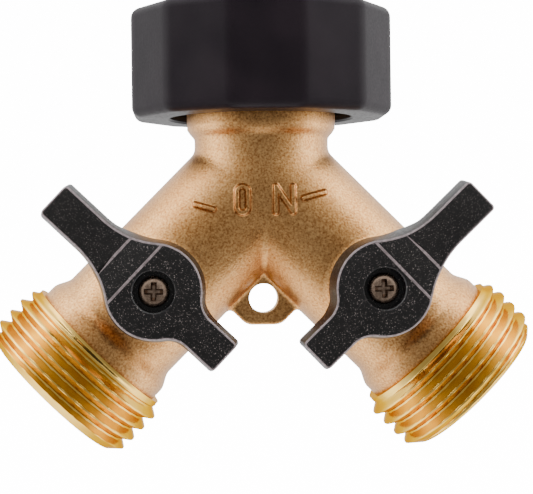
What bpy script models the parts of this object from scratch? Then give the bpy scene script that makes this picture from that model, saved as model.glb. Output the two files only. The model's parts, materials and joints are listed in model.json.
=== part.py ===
"""A two-way hose splitter: a cast brass Y with a swivel inlet nut and a ball valve in each branch.

Frame: +Z runs up the inlet axis, +X to the right, and the two levers face -Y.
The origin is the middle of the inlet washer's top face, where a tap's mouth seals.
"""

import math

import bmesh
import bpy
from mathutils import Matrix, Vector

MM = 0.001
LEFT = -1
RIGHT = 1
BODY = "y_body"

# Clearances. SEAT_GAP parts faces that rest on each other, RUN_GAP parts round pieces that turn or slide.
SEAT_GAP = 0.3 * MM
RUN_GAP = 0.2 * MM

# Smoothness of round pieces, in sides to the circle. FACET_TURN turns each branch's sides a
# little, so that the tubes' edges cross and never run into each other's ends.
ROUND_SIDES = 32
SMALL_SIDES = 16
ORING_SECTION_SIDES = 6
FACET_TURN = {LEFT: math.radians(2), RIGHT: math.radians(5)}

# Branches
BRANCH_TILT = math.radians(45)
BRANCH_OVERLAP = 1.0 * MM
TUBE_RADIUS = 10.1 * MM
VALVE_STATION = 22.8 * MM
COLLAR_PAST_VALVE = 7.6 * MM
COLLAR_RISE = 3.0 * MM
COLLAR_STEP = 1.1 * MM
COLLAR_WIDTH = 1.5 * MM
OUTLET_LENGTH = 10.0 * MM

# Garden hose thread, 11.5 to the inch
THREAD_PITCH = 25.4 / 11.5 * MM
THREAD_DEPTH = 1.25 * MM
THREAD_FLAT = 0.45 * MM
MALE_CREST_RADIUS = 13.35 * MM
THREAD_CLEARANCE = 0.25 * MM
THREAD_LEAD_IN = 1.0 * MM

# Inlet tail and neck
NECK_STEP = 0.2 * MM
NECK_ROOT = 3.0 * MM
NECK_LENGTH = 5.6 * MM
NECK_FLARE = 1.8 * MM
TAIL_INSIDE_THREAD = 1.15 * MM
INLET_BORE_RADIUS = 6.5 * MM
WASHER_SEAT_ABOVE_FORK = 13.9 * MM
TAIL_RIM = 0.8 * MM

# Ball valve
BALL_RADIUS = 7.5 * MM
PORT_RADIUS = 4.75 * MM
SEAT_DEPTH = 0.7 * MM
POCKET_ROOM = 0.5 * MM
SEAT_LIP = 0.5 * MM
RETAINER_LENGTH = 3.4 * MM
MOUTH_CHAMFER = 0.5 * MM

# Stem, measured outward from the branch axis
TANG_THICKNESS = 2.4 * MM
TANG_WIDTH = 5.0 * MM
TANG_DEPTH = 1.5 * MM
FLANGE_STEP = 1.2 * MM
FLANGE_THICKNESS = 1.1 * MM
THRUST_WASHER_THICKNESS = 0.5 * MM
STEM_RADIUS = 3.0 * MM
ORING_SECTION_RADIUS = 0.4 * MM
ORING_STEP = 1.6 * MM
STEM_LAND = 0.5 * MM
SQUARE_CORNER_INSET = 0.1 * MM
SQUARE_LENGTH = 2.0 * MM
SCREW_RADIUS = 1.25 * MM
SCREW_GRIP = 4.0 * MM
SCREW_HOLE_SPARE = 0.5 * MM

# Boss on the branch, under the lever
BOSS_WALL = 3.4 * MM
BOSS_LIP = 0.1 * MM
STOP_INSET = 1.2 * MM
STOP_RADIUS = 0.7 * MM
STOP_HEIGHT = 1.1 * MM
LEVER_SWING = math.radians(91.2)
LEVER_SET = math.radians(1.2)

# Lever
HUB_OVERHANG = 0.95 * MM
HUB_THICKNESS = 5.5 * MM
ARM_RAISE = 1.8 * MM
LONG_REACH = 19.15 * MM
LONG_HALF_WIDTH = 3.4 * MM
LONG_FLARE = 4.65 * MM
SHORT_REACH = 13.9 * MM
SHORT_HALF_WIDTH = 3.1 * MM
SHORT_FLARE = 1.05 * MM
LEVER_DRAFT = 0.75 * MM
LEVER_TIP_RADIUS = 0.6 * MM
STEP_START = 3.6 * MM
STEP_END = 7.3 * MM
ARM_THICKNESS = 4.8 * MM
SHORT_ARM_RELIEF = 1.2 * MM
HEAD_POCKET_RADIUS = 2.95 * MM
HEAD_RADIUS = 2.2 * MM
HEAD_HEIGHT = 1.4 * MM
HEAD_SHOULDER_INSET = 0.33 * MM
HEAD_CROWN_INSET = 0.88 * MM
WEB_THICKNESS = 1.0 * MM
CROSS_WIDTH = 0.75 * MM
CROSS_SPAN = 2.6 * MM
CROSS_DEPTH = 0.9 * MM

# Lug in the fork
LUG_THICKNESS = 4.0 * MM
LUG_HOLE_BELOW_CROTCH = 3.52 * MM
LUG_HOLE_RADIUS = 2.2 * MM
LUG_EDGE = 4.0 * MM
LUG_HALF_FLAT = 2.6 * MM

# Swivel nut: a brass hexagon moulded into a twelve-sided grip
WASHER_THICKNESS = 3.0 * MM
WASHER_HOLE_RADIUS = 8.8 * MM
EAR_RADIUS = 1.4 * MM
EAR_DROP = 0.1 * MM
GRIP_TOP = 8.3 * MM
GRIP_HEIGHT = 16.2 * MM
GRIP_WALL = 2.5 * MM
GRIP_SIDES = 12
GRIP_EDGE_ROUND = 1.1 * MM
GRIP_FLOOR = 1.1 * MM
GRIP_LIP = 0.7 * MM
GRIP_MOUTH_STEP = 0.15 * MM
NUT_WALL = 3.9 * MM
RING_THICKNESS = 1.0 * MM
RING_SECTION = 2.0 * MM
RING_SPLIT = math.radians(24)
RING_BITE = 0.9 * MM
WASHER_ROOM_ABOVE = 0.8 * MM

# Radii, levels and stations worked out from the sizes above
FEMALE_ROOT_RADIUS = MALE_CREST_RADIUS + THREAD_CLEARANCE
FEMALE_MINOR_RADIUS = FEMALE_ROOT_RADIUS - THREAD_DEPTH
NECK_RADIUS = TUBE_RADIUS + NECK_STEP
TAIL_RADIUS = FEMALE_MINOR_RADIUS - TAIL_INSIDE_THREAD
COLLAR_RADIUS = TUBE_RADIUS + COLLAR_STEP
COLLAR_START = VALVE_STATION + COLLAR_PAST_VALVE
SHOULDER = COLLAR_START + COLLAR_RISE + COLLAR_WIDTH
OUTLET_REACH = SHOULDER + OUTLET_LENGTH
POCKET_RADIUS = BALL_RADIUS + POCKET_ROOM
SEAT_MOUTH = BALL_RADIUS - SEAT_LIP
FLANGE_RADIUS = STEM_RADIUS + FLANGE_STEP
SQUARE_WIDTH = math.sqrt(2) * (STEM_RADIUS - SQUARE_CORNER_INSET)
BOSS_RADIUS = STEM_RADIUS + BOSS_WALL
STOP_CIRCLE_RADIUS = BOSS_RADIUS - STOP_INSET
HUB_RADIUS = BOSS_RADIUS + HUB_OVERHANG
LONG_FLARE_START = HUB_RADIUS + LONG_FLARE
SHORT_FLARE_START = HUB_RADIUS + SHORT_FLARE
LUG_HOLE_DROP = TUBE_RADIUS / math.sin(BRANCH_TILT) + LUG_HOLE_BELOW_CROTCH
WASHER_RADIUS = FEMALE_MINOR_RADIUS - RUN_GAP
EAR_REACH = FEMALE_ROOT_RADIUS - RUN_GAP
GRIP_MOUTH_RADIUS = FEMALE_ROOT_RADIUS + GRIP_MOUTH_STEP
HEX_CORNER_RADIUS = FEMALE_ROOT_RADIUS + NUT_WALL
GRIP_CORNER_RADIUS = HEX_CORNER_RADIUS + GRIP_WALL
TAIL_TOP = -WASHER_THICKNESS - SEAT_GAP
FORK_Z = TAIL_TOP - WASHER_SEAT_ABOVE_FORK
RING_TOP = TAIL_TOP - TAIL_RIM - RUN_GAP
RING_BOTTOM = RING_TOP - RING_THICKNESS
NUT_BOTTOM = GRIP_TOP - GRIP_HEIGHT + GRIP_FLOOR + SEAT_GAP
NUT_TOP = GRIP_TOP - GRIP_LIP - SEAT_GAP
NUT_BORE_RADIUS = TAIL_RADIUS + SEAT_GAP
RING_OUTER = TAIL_RADIUS - RING_BITE + RING_SECTION
SEAT_BACK = BALL_RADIUS + SEAT_DEPTH
POCKET_START = VALVE_STATION - SEAT_BACK - SEAT_GAP
RETAINER_START = VALVE_STATION + SEAT_BACK + SEAT_GAP
FLANGE_BOTTOM = BALL_RADIUS + SEAT_GAP
FLANGE_TOP = FLANGE_BOTTOM + FLANGE_THICKNESS
THRUST_BOTTOM = FLANGE_TOP + RUN_GAP
THRUST_TOP = THRUST_BOTTOM + THRUST_WASHER_THICKNESS
COUNTERBORE_TOP = THRUST_TOP + RUN_GAP
GROOVE_HALF = ORING_SECTION_RADIUS + RUN_GAP
ORING_CIRCLE = STEM_RADIUS - ORING_SECTION_RADIUS + 0.5 * RUN_GAP
GROOVE_RADIUS = ORING_CIRCLE - ORING_SECTION_RADIUS - RUN_GAP
ORING_LOWER = COUNTERBORE_TOP + STEM_LAND + GROOVE_HALF
ORING_UPPER = ORING_LOWER + ORING_STEP
BOSS_HEIGHT = ORING_UPPER + GROOVE_HALF + BOSS_LIP
LEVER_BOTTOM = BOSS_HEIGHT + SEAT_GAP
SQUARE_TOP = LEVER_BOTTOM + SQUARE_LENGTH
WEB_BOTTOM = SQUARE_TOP + SEAT_GAP
HEAD_SEAT = WEB_BOTTOM + WEB_THICKNESS
HEAD_BOTTOM = HEAD_SEAT + RUN_GAP
HUB_TOP = LEVER_BOTTOM + HUB_THICKNESS
ARM_TOP = HUB_TOP + ARM_RAISE


def clear_scene():
    for old in list(bpy.data.objects):
        bpy.data.objects.remove(old, do_unlink=True)


def finish_of(name, colour, roughness, metallic):
    material = bpy.data.materials.new(name)
    material.use_nodes = True
    shader = material.node_tree.nodes["Principled BSDF"]
    shader.inputs["Base Color"].default_value = (*colour, 1)
    shader.inputs["Roughness"].default_value = roughness
    shader.inputs["Metallic"].default_value = metallic
    material.diffuse_color = (*colour, 1)
    return material


def add_object(name, bm, place=None, parent=None, material=None):
    """Turns the bmesh into an object. place is its matrix in the world, or under its parent."""
    bmesh.ops.recalc_face_normals(bm, faces=bm.faces)
    mesh = bpy.data.meshes.new(name)
    bm.to_mesh(mesh)
    bm.free()
    mesh.shade_smooth()
    mesh.set_sharp_from_angle(angle=math.radians(35))
    if material:
        mesh.materials.append(material)
    made = bpy.data.objects.new(name, mesh)
    bpy.context.scene.collection.objects.link(made)
    made.parent = parent
    if place:
        made.matrix_local = place
    return made


def add_axis(name, place):
    """An empty on a joint's axis, which carries what turns there."""
    axis = bpy.data.objects.new(name, None)
    axis.empty_display_size = 5 * MM
    bpy.context.scene.collection.objects.link(axis)
    axis.matrix_world = place
    return axis


def turned(profile, sides=ROUND_SIDES):
    """A solid turned about Z from a closed outline of (radius, height) points."""
    bm = bmesh.new()
    points = [bm.verts.new((radius, 0, height)) for radius, height in profile]
    pairs = zip(points, points[1:] + points[:1])
    edges = [bm.edges.new((a, b)) for a, b in pairs if a.co.x or b.co.x]
    bmesh.ops.spin(
        bm, geom=points + edges, cent=(0, 0, 0), axis=(0, 0, 1),
        angle=2 * math.pi, steps=sides, use_merge=True,
    )
    bmesh.ops.remove_doubles(bm, verts=bm.verts, dist=1e-6)
    bmesh.ops.dissolve_degenerate(bm, edges=bm.edges, dist=1e-7)
    return bm


def prism(outline, low, high, top_outline=None):
    """A solid between two levels of Z. top_outline, with as many points, gives its sides a draft."""
    bm = bmesh.new()
    bottom = [bm.verts.new((x, y, low)) for x, y in outline]
    top = [bm.verts.new((x, y, high)) for x, y in top_outline or outline]
    bm.faces.new(bottom)
    bm.faces.new(top)
    count = len(bottom)
    for i in range(count):
        j = (i + 1) % count
        bm.faces.new((bottom[i], bottom[j], top[j], top[i]))
    return bm


def circle(radius, sides=SMALL_SIDES, centre=(0, 0), start=0.0):
    step = 2 * math.pi / sides
    return [
        (centre[0] + radius * math.cos(start + i * step), centre[1] + radius * math.sin(start + i * step))
        for i in range(sides)
    ]


def arc(centre, radius, start, end, steps):
    """Points along an arc, both ends included."""
    turn = (end - start) / steps
    return [
        (centre[0] + radius * math.cos(start + i * turn), centre[1] + radius * math.sin(start + i * turn))
        for i in range(steps + 1)
    ]


def box(width, depth, low, high):
    return prism(
        [(-width / 2, -depth / 2), (width / 2, -depth / 2), (width / 2, depth / 2), (-width / 2, depth / 2)],
        low, high,
    )


def add_boolean(target, tool, operation):
    """The body's tubes share their radius and meet on one point, where the exact solver leaves gaps."""
    tool.hide_render = True
    tool.display_type = "WIRE"
    change = target.modifiers.new(tool.name, "BOOLEAN")
    change.operation = operation
    change.solver = "MANIFOLD" if target.name == BODY else "EXACT"
    change.object = tool


def cut(target, name, bm, place=None, parent=None):
    add_boolean(target, add_object("cut_" + name, bm, place, parent), "DIFFERENCE")


def join(target, name, bm, place=None, parent=None):
    add_boolean(target, add_object("add_" + name, bm, place, parent), "UNION")


def side_name(side):
    return "left" if side == LEFT else "right"


def fork():
    return Vector((0, 0, FORK_Z))


def branch_direction(side):
    return Vector((side * math.sin(BRANCH_TILT), 0, -math.cos(BRANCH_TILT)))


def branch_frame(side):
    """Z runs down the branch from the fork."""
    tilt = Matrix.Rotation(math.pi - side * BRANCH_TILT, 4, "Y")
    return Matrix.Translation(fork()) @ tilt @ Matrix.Rotation(FACET_TURN[side], 4, "Z")


def valve_frame(side):
    """Centred on the ball. Z faces the user, and X points square to the branch, up and outward."""
    front = Vector((0, -1, 0))
    across = Vector((side * math.cos(BRANCH_TILT), 0, math.sin(BRANCH_TILT)))
    turn = Matrix((across, front.cross(across), front)).transposed().to_4x4()
    return Matrix.Translation(fork() + VALVE_STATION * branch_direction(side)) @ turn


def opening_turn(side):
    """Sign, about the valve frame's Z, of the turn that opens the valve."""
    return side


def thread(base_radius, crest_radius, start, end):
    """Outline points of as many whole turns of thread as fit between two heights, drawn as rings."""
    flank = abs(crest_radius - base_radius) * math.tan(math.radians(30))
    points = []
    for turn in range(int((end - start) / THREAD_PITCH)):
        foot = start + turn * THREAD_PITCH
        points += [
            (base_radius, foot),
            (crest_radius, foot + flank),
            (crest_radius, foot + flank + THREAD_FLAT),
            (base_radius, foot + 2 * flank + THREAD_FLAT),
        ]
    return points


# ---- Body


def branch_outside():
    root = MALE_CREST_RADIUS - THREAD_DEPTH
    return [
        (0, -BRANCH_OVERLAP),
        (TUBE_RADIUS, -BRANCH_OVERLAP),
        (TUBE_RADIUS, COLLAR_START),
        (COLLAR_RADIUS, COLLAR_START + COLLAR_RISE),
        (COLLAR_RADIUS, SHOULDER),
        *thread(root, MALE_CREST_RADIUS, SHOULDER + RUN_GAP, OUTLET_REACH - MOUTH_CHAMFER),
        (root, OUTLET_REACH - MOUTH_CHAMFER),
        (root - MOUTH_CHAMFER, OUTLET_REACH),
        (0, OUTLET_REACH),
    ]


def waterway():
    """What is bored out of a branch: the port, then the pocket that the valve is loaded through."""
    return [
        (0, -2 * BRANCH_OVERLAP),
        (PORT_RADIUS, -2 * BRANCH_OVERLAP),
        (PORT_RADIUS, POCKET_START),
        (POCKET_RADIUS, POCKET_START),
        (POCKET_RADIUS, OUTLET_REACH - MOUTH_CHAMFER),
        (POCKET_RADIUS + 2 * MOUTH_CHAMFER, OUTLET_REACH + MOUTH_CHAMFER),
        (0, OUTLET_REACH + MOUTH_CHAMFER),
    ]


def stem_hole():
    bore = STEM_RADIUS + RUN_GAP
    recess = FLANGE_RADIUS + SEAT_GAP
    return [
        (0, PORT_RADIUS),
        (recess, PORT_RADIUS),
        (recess, COUNTERBORE_TOP),
        (bore, COUNTERBORE_TOP),
        (bore, BOSS_HEIGHT + MM),
        (0, BOSS_HEIGHT + MM),
    ]


def inlet_outside():
    """Neck, flare and tail, with the groove that the retaining ring sits in."""
    groove = TAIL_RADIUS - RING_BITE - RUN_GAP
    return [
        (0, FORK_Z - NECK_ROOT),
        (NECK_RADIUS - NECK_ROOT, FORK_Z - NECK_ROOT),
        (NECK_RADIUS, FORK_Z),
        (NECK_RADIUS, FORK_Z + NECK_LENGTH),
        (TAIL_RADIUS, FORK_Z + NECK_LENGTH + NECK_FLARE),
        (TAIL_RADIUS, RING_BOTTOM - RUN_GAP),
        (groove, RING_BOTTOM - RUN_GAP),
        (groove, RING_TOP + RUN_GAP),
        (TAIL_RADIUS, RING_TOP + RUN_GAP),
        (TAIL_RADIUS, TAIL_TOP),
        (0, TAIL_TOP),
    ]


def lug_outline():
    """A corner plate in the fork, seen along Y as (x, z)."""
    low = FORK_Z - LUG_HOLE_DROP - LUG_EDGE
    spread = TUBE_RADIUS
    return [
        (-LUG_HALF_FLAT, low),
        (LUG_HALF_FLAT, low),
        (LUG_HALF_FLAT + spread / 2, low + spread / 2),
        (0, FORK_Z - TUBE_RADIUS),
        (-LUG_HALF_FLAT - spread / 2, low + spread / 2),
    ]


def stop_place(side):
    """The stop stands on the boss, in the middle of the lever's swing and away from the lever's arms."""
    angle = math.pi + opening_turn(side) * (LEVER_SWING / 2 - LEVER_SET)
    return (STOP_CIRCLE_RADIUS * math.cos(angle), STOP_CIRCLE_RADIUS * math.sin(angle))


def make_body(brass):
    body = add_object(BODY, turned(inlet_outside()), material=brass)
    along_y = Matrix.Rotation(math.pi / 2, 4, "X")
    half = LUG_THICKNESS / 2
    for side in (LEFT, RIGHT):
        name = side_name(side)
        join(body, name + "_branch", turned(branch_outside()), branch_frame(side))
        boss = turned([(0, PORT_RADIUS), (BOSS_RADIUS, PORT_RADIUS), (BOSS_RADIUS, BOSS_HEIGHT), (0, BOSS_HEIGHT)])
        join(body, name + "_boss", boss, valve_frame(side))
        stop = prism(circle(STOP_RADIUS, 12, stop_place(side)), BOSS_HEIGHT - MM, BOSS_HEIGHT + STOP_HEIGHT)
        join(body, name + "_stop", stop, valve_frame(side))
    join(body, "lug", prism(lug_outline(), -half, half), along_y)
    bore = prism(circle(INLET_BORE_RADIUS, ROUND_SIDES), FORK_Z - BRANCH_OVERLAP, TAIL_TOP + MM)
    cut(body, "inlet_bore", bore)
    for side in (LEFT, RIGHT):
        name = side_name(side)
        cut(body, name + "_waterway", turned(waterway()), branch_frame(side))
        cut(body, name + "_stem_hole", turned(stem_hole()), valve_frame(side))
    hole = circle(LUG_HOLE_RADIUS, SMALL_SIDES, (0, FORK_Z - LUG_HOLE_DROP))
    cut(body, "lug_hole", prism(hole, -half - MM, half + MM), along_y)
    return body


# ---- Swivel nut


def make_retaining_ring(steel):
    inner = RING_OUTER - RING_SECTION
    outline = arc((0, 0), RING_OUTER, RING_SPLIT / 2, 2 * math.pi - RING_SPLIT / 2, ROUND_SIDES)
    outline += arc((0, 0), inner, 2 * math.pi - RING_SPLIT / 2, RING_SPLIT / 2, ROUND_SIDES)
    add_object("nut_retaining_ring", prism(outline, RING_BOTTOM, RING_TOP), material=steel)


def nut_inside():
    """What is bored out of the brass nut: lip, ring groove, washer room and thread."""
    groove = RING_OUTER + SEAT_GAP
    floor = -WASHER_THICKNESS - RUN_GAP
    thread_start = WASHER_ROOM_ABOVE + THREAD_FLAT
    return [
        (0, NUT_BOTTOM - MM),
        (NUT_BORE_RADIUS, NUT_BOTTOM - MM),
        (NUT_BORE_RADIUS, RING_BOTTOM - RUN_GAP),
        (groove, RING_BOTTOM - RUN_GAP),
        (groove, RING_TOP + RUN_GAP),
        (NUT_BORE_RADIUS, RING_TOP + RUN_GAP),
        (NUT_BORE_RADIUS, floor),
        (FEMALE_ROOT_RADIUS, floor),
        (FEMALE_ROOT_RADIUS, WASHER_ROOM_ABOVE),
        (FEMALE_MINOR_RADIUS, WASHER_ROOM_ABOVE),
        *thread(FEMALE_MINOR_RADIUS, FEMALE_ROOT_RADIUS, thread_start, NUT_TOP - THREAD_LEAD_IN),
        (FEMALE_MINOR_RADIUS, NUT_TOP - THREAD_LEAD_IN),
        (FEMALE_MINOR_RADIUS + THREAD_LEAD_IN + MM, NUT_TOP + MM),
        (0, NUT_TOP + MM),
    ]


def make_inlet_nut(axis, brass):
    outline = circle(HEX_CORNER_RADIUS, 6)
    nut = add_object("inlet_nut", prism(outline, NUT_BOTTOM, NUT_TOP), parent=axis, material=brass)
    cut(nut, "nut_inside", turned(nut_inside()), parent=axis)


def make_nut_grip(axis, plastic):
    """Twelve-sided outside with rounded rims, moulded round the hexagon and over its top."""
    bottom = GRIP_TOP - GRIP_HEIGHT
    start = math.pi / GRIP_SIDES
    outline = circle(GRIP_CORNER_RADIUS, GRIP_SIDES, start=start)
    bm = prism(outline, bottom, GRIP_TOP)
    rims = [e for e in bm.edges if abs(e.verts[0].co.z - e.verts[1].co.z) < 1e-7]
    bmesh.ops.bevel(bm, geom=rims, offset=GRIP_EDGE_ROUND, segments=3, profile=0.5, affect="EDGES")
    grip = add_object("nut_grip", bm, parent=axis, material=plastic)
    mouth = [
        (0, bottom - MM),
        (GRIP_MOUTH_RADIUS, bottom - MM),
        (GRIP_MOUTH_RADIUS, GRIP_TOP + MM),
        (0, GRIP_TOP + MM),
    ]
    room = circle(HEX_CORNER_RADIUS + SEAT_GAP / math.cos(math.pi / 6), 6)
    cavity = prism(room, NUT_BOTTOM - SEAT_GAP, NUT_TOP + SEAT_GAP)
    cut(grip, "grip_mouth", turned(mouth), parent=axis)
    cut(grip, "grip_cavity", cavity, parent=axis)


def make_inlet_washer(axis, rubber):
    bm = turned([
        (WASHER_HOLE_RADIUS, -WASHER_THICKNESS),
        (WASHER_RADIUS, -WASHER_THICKNESS),
        (WASHER_RADIUS, 0),
        (WASHER_HOLE_RADIUS, 0),
    ])
    washer = add_object("inlet_washer", bm, parent=axis, material=rubber)
    middle = EAR_REACH - EAR_RADIUS
    for quarter in range(4):
        angle = math.pi / 4 + quarter * math.pi / 2
        centre = (middle * math.cos(angle), middle * math.sin(angle))
        ear = prism(circle(EAR_RADIUS, SMALL_SIDES, centre), EAR_DROP - WASHER_THICKNESS, -EAR_DROP)
        join(washer, f"ear_{quarter}", ear, parent=axis)


# ---- Valve


def make_ball(side, axis, chrome):
    """The port stands across the flow at rest, and the slot in the ball's top lies along it."""
    bm = bmesh.new()
    bmesh.ops.create_uvsphere(bm, u_segments=20, v_segments=14, radius=BALL_RADIUS)
    ball = add_object(side_name(side) + "_ball", bm, parent=axis, material=chrome)
    across = Matrix.Rotation(math.pi / 2, 4, "Y")
    port = prism(circle(PORT_RADIUS, SMALL_SIDES), -2 * BALL_RADIUS, 2 * BALL_RADIUS)
    cut(ball, side_name(side) + "_port", port, across, axis)
    slot_floor = FLANGE_BOTTOM - TANG_DEPTH - SEAT_GAP
    slot = box(TANG_THICKNESS + 2 * RUN_GAP, 4 * BALL_RADIUS, slot_floor, 2 * BALL_RADIUS)
    cut(ball, side_name(side) + "_ball_slot", slot, parent=axis)


def seat_profile():
    """A ring whose face follows the ball, a running gap away. Heights run away from the ball."""
    reach = BALL_RADIUS + RUN_GAP
    low = math.asin(PORT_RADIUS / reach)
    high = math.asin(SEAT_MOUTH / reach)
    steps = 3
    face = []
    for i in range(steps + 1):
        angle = low + (high - low) * i / steps
        face.append((reach * math.sin(angle), reach * math.cos(angle)))
    outer = POCKET_RADIUS - RUN_GAP
    return [(PORT_RADIUS, SEAT_BACK), *face, (outer, face[-1][1]), (outer, SEAT_BACK)]


def make_seats(side, ptfe):
    centre = branch_frame(side) @ Matrix.Translation((0, 0, VALVE_STATION))
    flip = Matrix.Rotation(math.pi, 4, "X")
    add_object(side_name(side) + "_seat_downstream", turned(seat_profile()), centre, material=ptfe)
    add_object(side_name(side) + "_seat_upstream", turned(seat_profile()), centre @ flip, material=ptfe)


def make_retainer(side, brass):
    """Screwed in behind the valve with a hexagon key."""
    place = branch_frame(side) @ Matrix.Translation((0, 0, RETAINER_START))
    disc = turned([
        (0, 0),
        (POCKET_RADIUS - RUN_GAP, 0),
        (POCKET_RADIUS - RUN_GAP, RETAINER_LENGTH),
        (0, RETAINER_LENGTH),
    ])
    ring = add_object(side_name(side) + "_seat_retainer", disc, place, material=brass)
    key = prism(circle(PORT_RADIUS / math.cos(math.pi / 6), 6), -MM, RETAINER_LENGTH + MM)
    cut(ring, side_name(side) + "_key", key, place)


def stem_profile():
    points = [(0, FLANGE_BOTTOM), (FLANGE_RADIUS, FLANGE_BOTTOM), (FLANGE_RADIUS, FLANGE_TOP)]
    points += [(STEM_RADIUS, FLANGE_TOP)]
    for middle in (ORING_LOWER, ORING_UPPER):
        points += [
            (STEM_RADIUS, middle - GROOVE_HALF),
            (GROOVE_RADIUS, middle - GROOVE_HALF),
            (GROOVE_RADIUS, middle + GROOVE_HALF),
            (STEM_RADIUS, middle + GROOVE_HALF),
        ]
    return points + [(STEM_RADIUS, LEVER_BOTTOM), (0, LEVER_BOTTOM)]


def make_stem(side, axis, brass):
    name = side_name(side)
    stem = add_object(name + "_stem", turned(stem_profile(), SMALL_SIDES), parent=axis, material=brass)
    tang_low = FLANGE_BOTTOM - TANG_DEPTH
    tang = box(TANG_THICKNESS, TANG_WIDTH, tang_low, FLANGE_BOTTOM + FLANGE_THICKNESS / 2)
    join(stem, name + "_tang", tang, parent=axis)
    square = box(SQUARE_WIDTH, SQUARE_WIDTH, LEVER_BOTTOM - SEAT_GAP, SQUARE_TOP)
    join(stem, name + "_square", square, parent=axis)
    hole_low = HEAD_BOTTOM - SCREW_GRIP - SEAT_GAP - SCREW_HOLE_SPARE
    hole = prism(circle(SCREW_RADIUS + RUN_GAP), hole_low, SQUARE_TOP + MM)
    cut(stem, name + "_screw_hole", hole, parent=axis)


def make_stem_seals(side, axis, rubber, ptfe):
    name = side_name(side)
    for level, middle in (("lower", ORING_LOWER), ("upper", ORING_UPPER)):
        section = turned(circle(ORING_SECTION_RADIUS, ORING_SECTION_SIDES, (ORING_CIRCLE, middle)), SMALL_SIDES)
        add_object(f"{name}_stem_oring_{level}", section, parent=axis, material=rubber)
    washer = turned([
        (STEM_RADIUS + RUN_GAP, THRUST_BOTTOM),
        (FLANGE_RADIUS, THRUST_BOTTOM),
        (FLANGE_RADIUS, THRUST_TOP),
        (STEM_RADIUS + RUN_GAP, THRUST_TOP),
    ], SMALL_SIDES)
    add_object(name + "_thrust_washer", washer, parent=axis, material=ptfe)


# ---- Lever


def arm_edge(hub, half_width, reach, flare_start, tip_radius):
    """One edge of an arm along +X, from the hub's circle out to the middle of the tip's corner."""
    flare = (flare_start**2 + half_width**2 - hub**2) / (2 * (hub - half_width))
    centre = (flare_start, half_width + flare)
    lean = math.atan2(centre[1], centre[0])
    curve = arc(centre, flare, math.pi + lean, 1.5 * math.pi, 8)
    corner = (reach - tip_radius, half_width - tip_radius)
    return curve + arc(corner, tip_radius, math.pi / 2, 0, 3)


def lever_outline(inset):
    """Both arms and the hub, drawn in by inset. Points run clockwise from the hub above the long arm."""
    hub = HUB_RADIUS - inset
    long_edge = arm_edge(hub, LONG_HALF_WIDTH - inset, LONG_REACH - inset / 2, LONG_FLARE_START, LEVER_TIP_RADIUS)
    short_edge = arm_edge(hub, SHORT_HALF_WIDTH - inset, SHORT_REACH - inset / 2, SHORT_FLARE_START, LEVER_TIP_RADIUS)
    upper_hub_start = math.atan2(short_edge[0][1], -short_edge[0][0])
    upper_hub_end = math.atan2(long_edge[0][1], long_edge[0][0])
    hub_arc = arc((0, 0), hub, upper_hub_start, upper_hub_end, 8)[1:-1]
    upper = [(-x, y) for x, y in reversed(short_edge)] + hub_arc + long_edge
    return upper + [(x, -y) for x, y in reversed(upper)]


def side_cut(outline, half_width):
    """A prism across the lever, from an outline seen from its side as (along the arm, height)."""
    bm = prism(outline, -half_width, half_width)
    bmesh.ops.transform(bm, matrix=Matrix.Rotation(math.pi / 2, 4, "X"), verts=bm.verts)
    return bm


def stop_slot():
    """The curved slot under the hub that runs over the body's stop, as an outline."""
    width = STOP_RADIUS + SEAT_GAP
    half_swing = LEVER_SWING / 2 + math.asin(width / STOP_CIRCLE_RADIUS)
    outline = arc((0, 0), STOP_CIRCLE_RADIUS + width, math.pi - half_swing, math.pi + half_swing, 16)
    return outline + arc((0, 0), STOP_CIRCLE_RADIUS - width, math.pi + half_swing, math.pi - half_swing, 16)


def make_lever(side, axis, paint):
    name = side_name(side)
    shape = prism(lever_outline(0), LEVER_BOTTOM, ARM_TOP, lever_outline(LEVER_DRAFT))
    lever = add_object(name + "_lever", shape, parent=axis, material=paint)
    wide = 2 * HUB_RADIUS
    top_cut = [
        (-2 * SHORT_REACH, HUB_TOP),
        (STEP_START, HUB_TOP),
        (STEP_END, ARM_TOP),
        (STEP_END + ARM_RAISE, ARM_TOP + ARM_RAISE),
        (-2 * SHORT_REACH, ARM_TOP + ARM_RAISE),
    ]
    cut(lever, name + "_lever_top", side_cut(top_cut, wide), parent=axis)
    arm_bottom = ARM_TOP - ARM_THICKNESS
    rise = arm_bottom - LEVER_BOTTOM
    long_start = HUB_RADIUS + SEAT_GAP
    under_long = [
        (long_start - rise, LEVER_BOTTOM - rise),
        (long_start + rise, arm_bottom),
        (2 * LONG_REACH, arm_bottom),
        (2 * LONG_REACH, LEVER_BOTTOM - rise),
    ]
    cut(lever, name + "_under_long_arm", side_cut(under_long, wide), parent=axis)
    relief = LEVER_BOTTOM + SHORT_ARM_RELIEF
    under_short = [
        (-long_start + SHORT_ARM_RELIEF, LEVER_BOTTOM - SHORT_ARM_RELIEF),
        (-long_start - SHORT_ARM_RELIEF, relief),
        (-2 * SHORT_REACH, relief),
        (-2 * SHORT_REACH, LEVER_BOTTOM - SHORT_ARM_RELIEF),
    ]
    cut(lever, name + "_under_short_arm", side_cut(under_short, wide), parent=axis)
    drive = SQUARE_WIDTH + 2 * RUN_GAP
    cut(lever, name + "_drive", box(drive, drive, LEVER_BOTTOM - MM, WEB_BOTTOM), parent=axis)
    cut(lever, name + "_shank_hole", prism(circle(SCREW_RADIUS + SEAT_GAP), LEVER_BOTTOM, ARM_TOP), parent=axis)
    cut(lever, name + "_head_pocket", prism(circle(HEAD_POCKET_RADIUS), HEAD_SEAT, ARM_TOP + MM), parent=axis)
    slot_top = BOSS_HEIGHT + STOP_HEIGHT + SEAT_GAP
    cut(lever, name + "_stop_slot", prism(stop_slot(), LEVER_BOTTOM - MM, slot_top), parent=axis)


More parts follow.
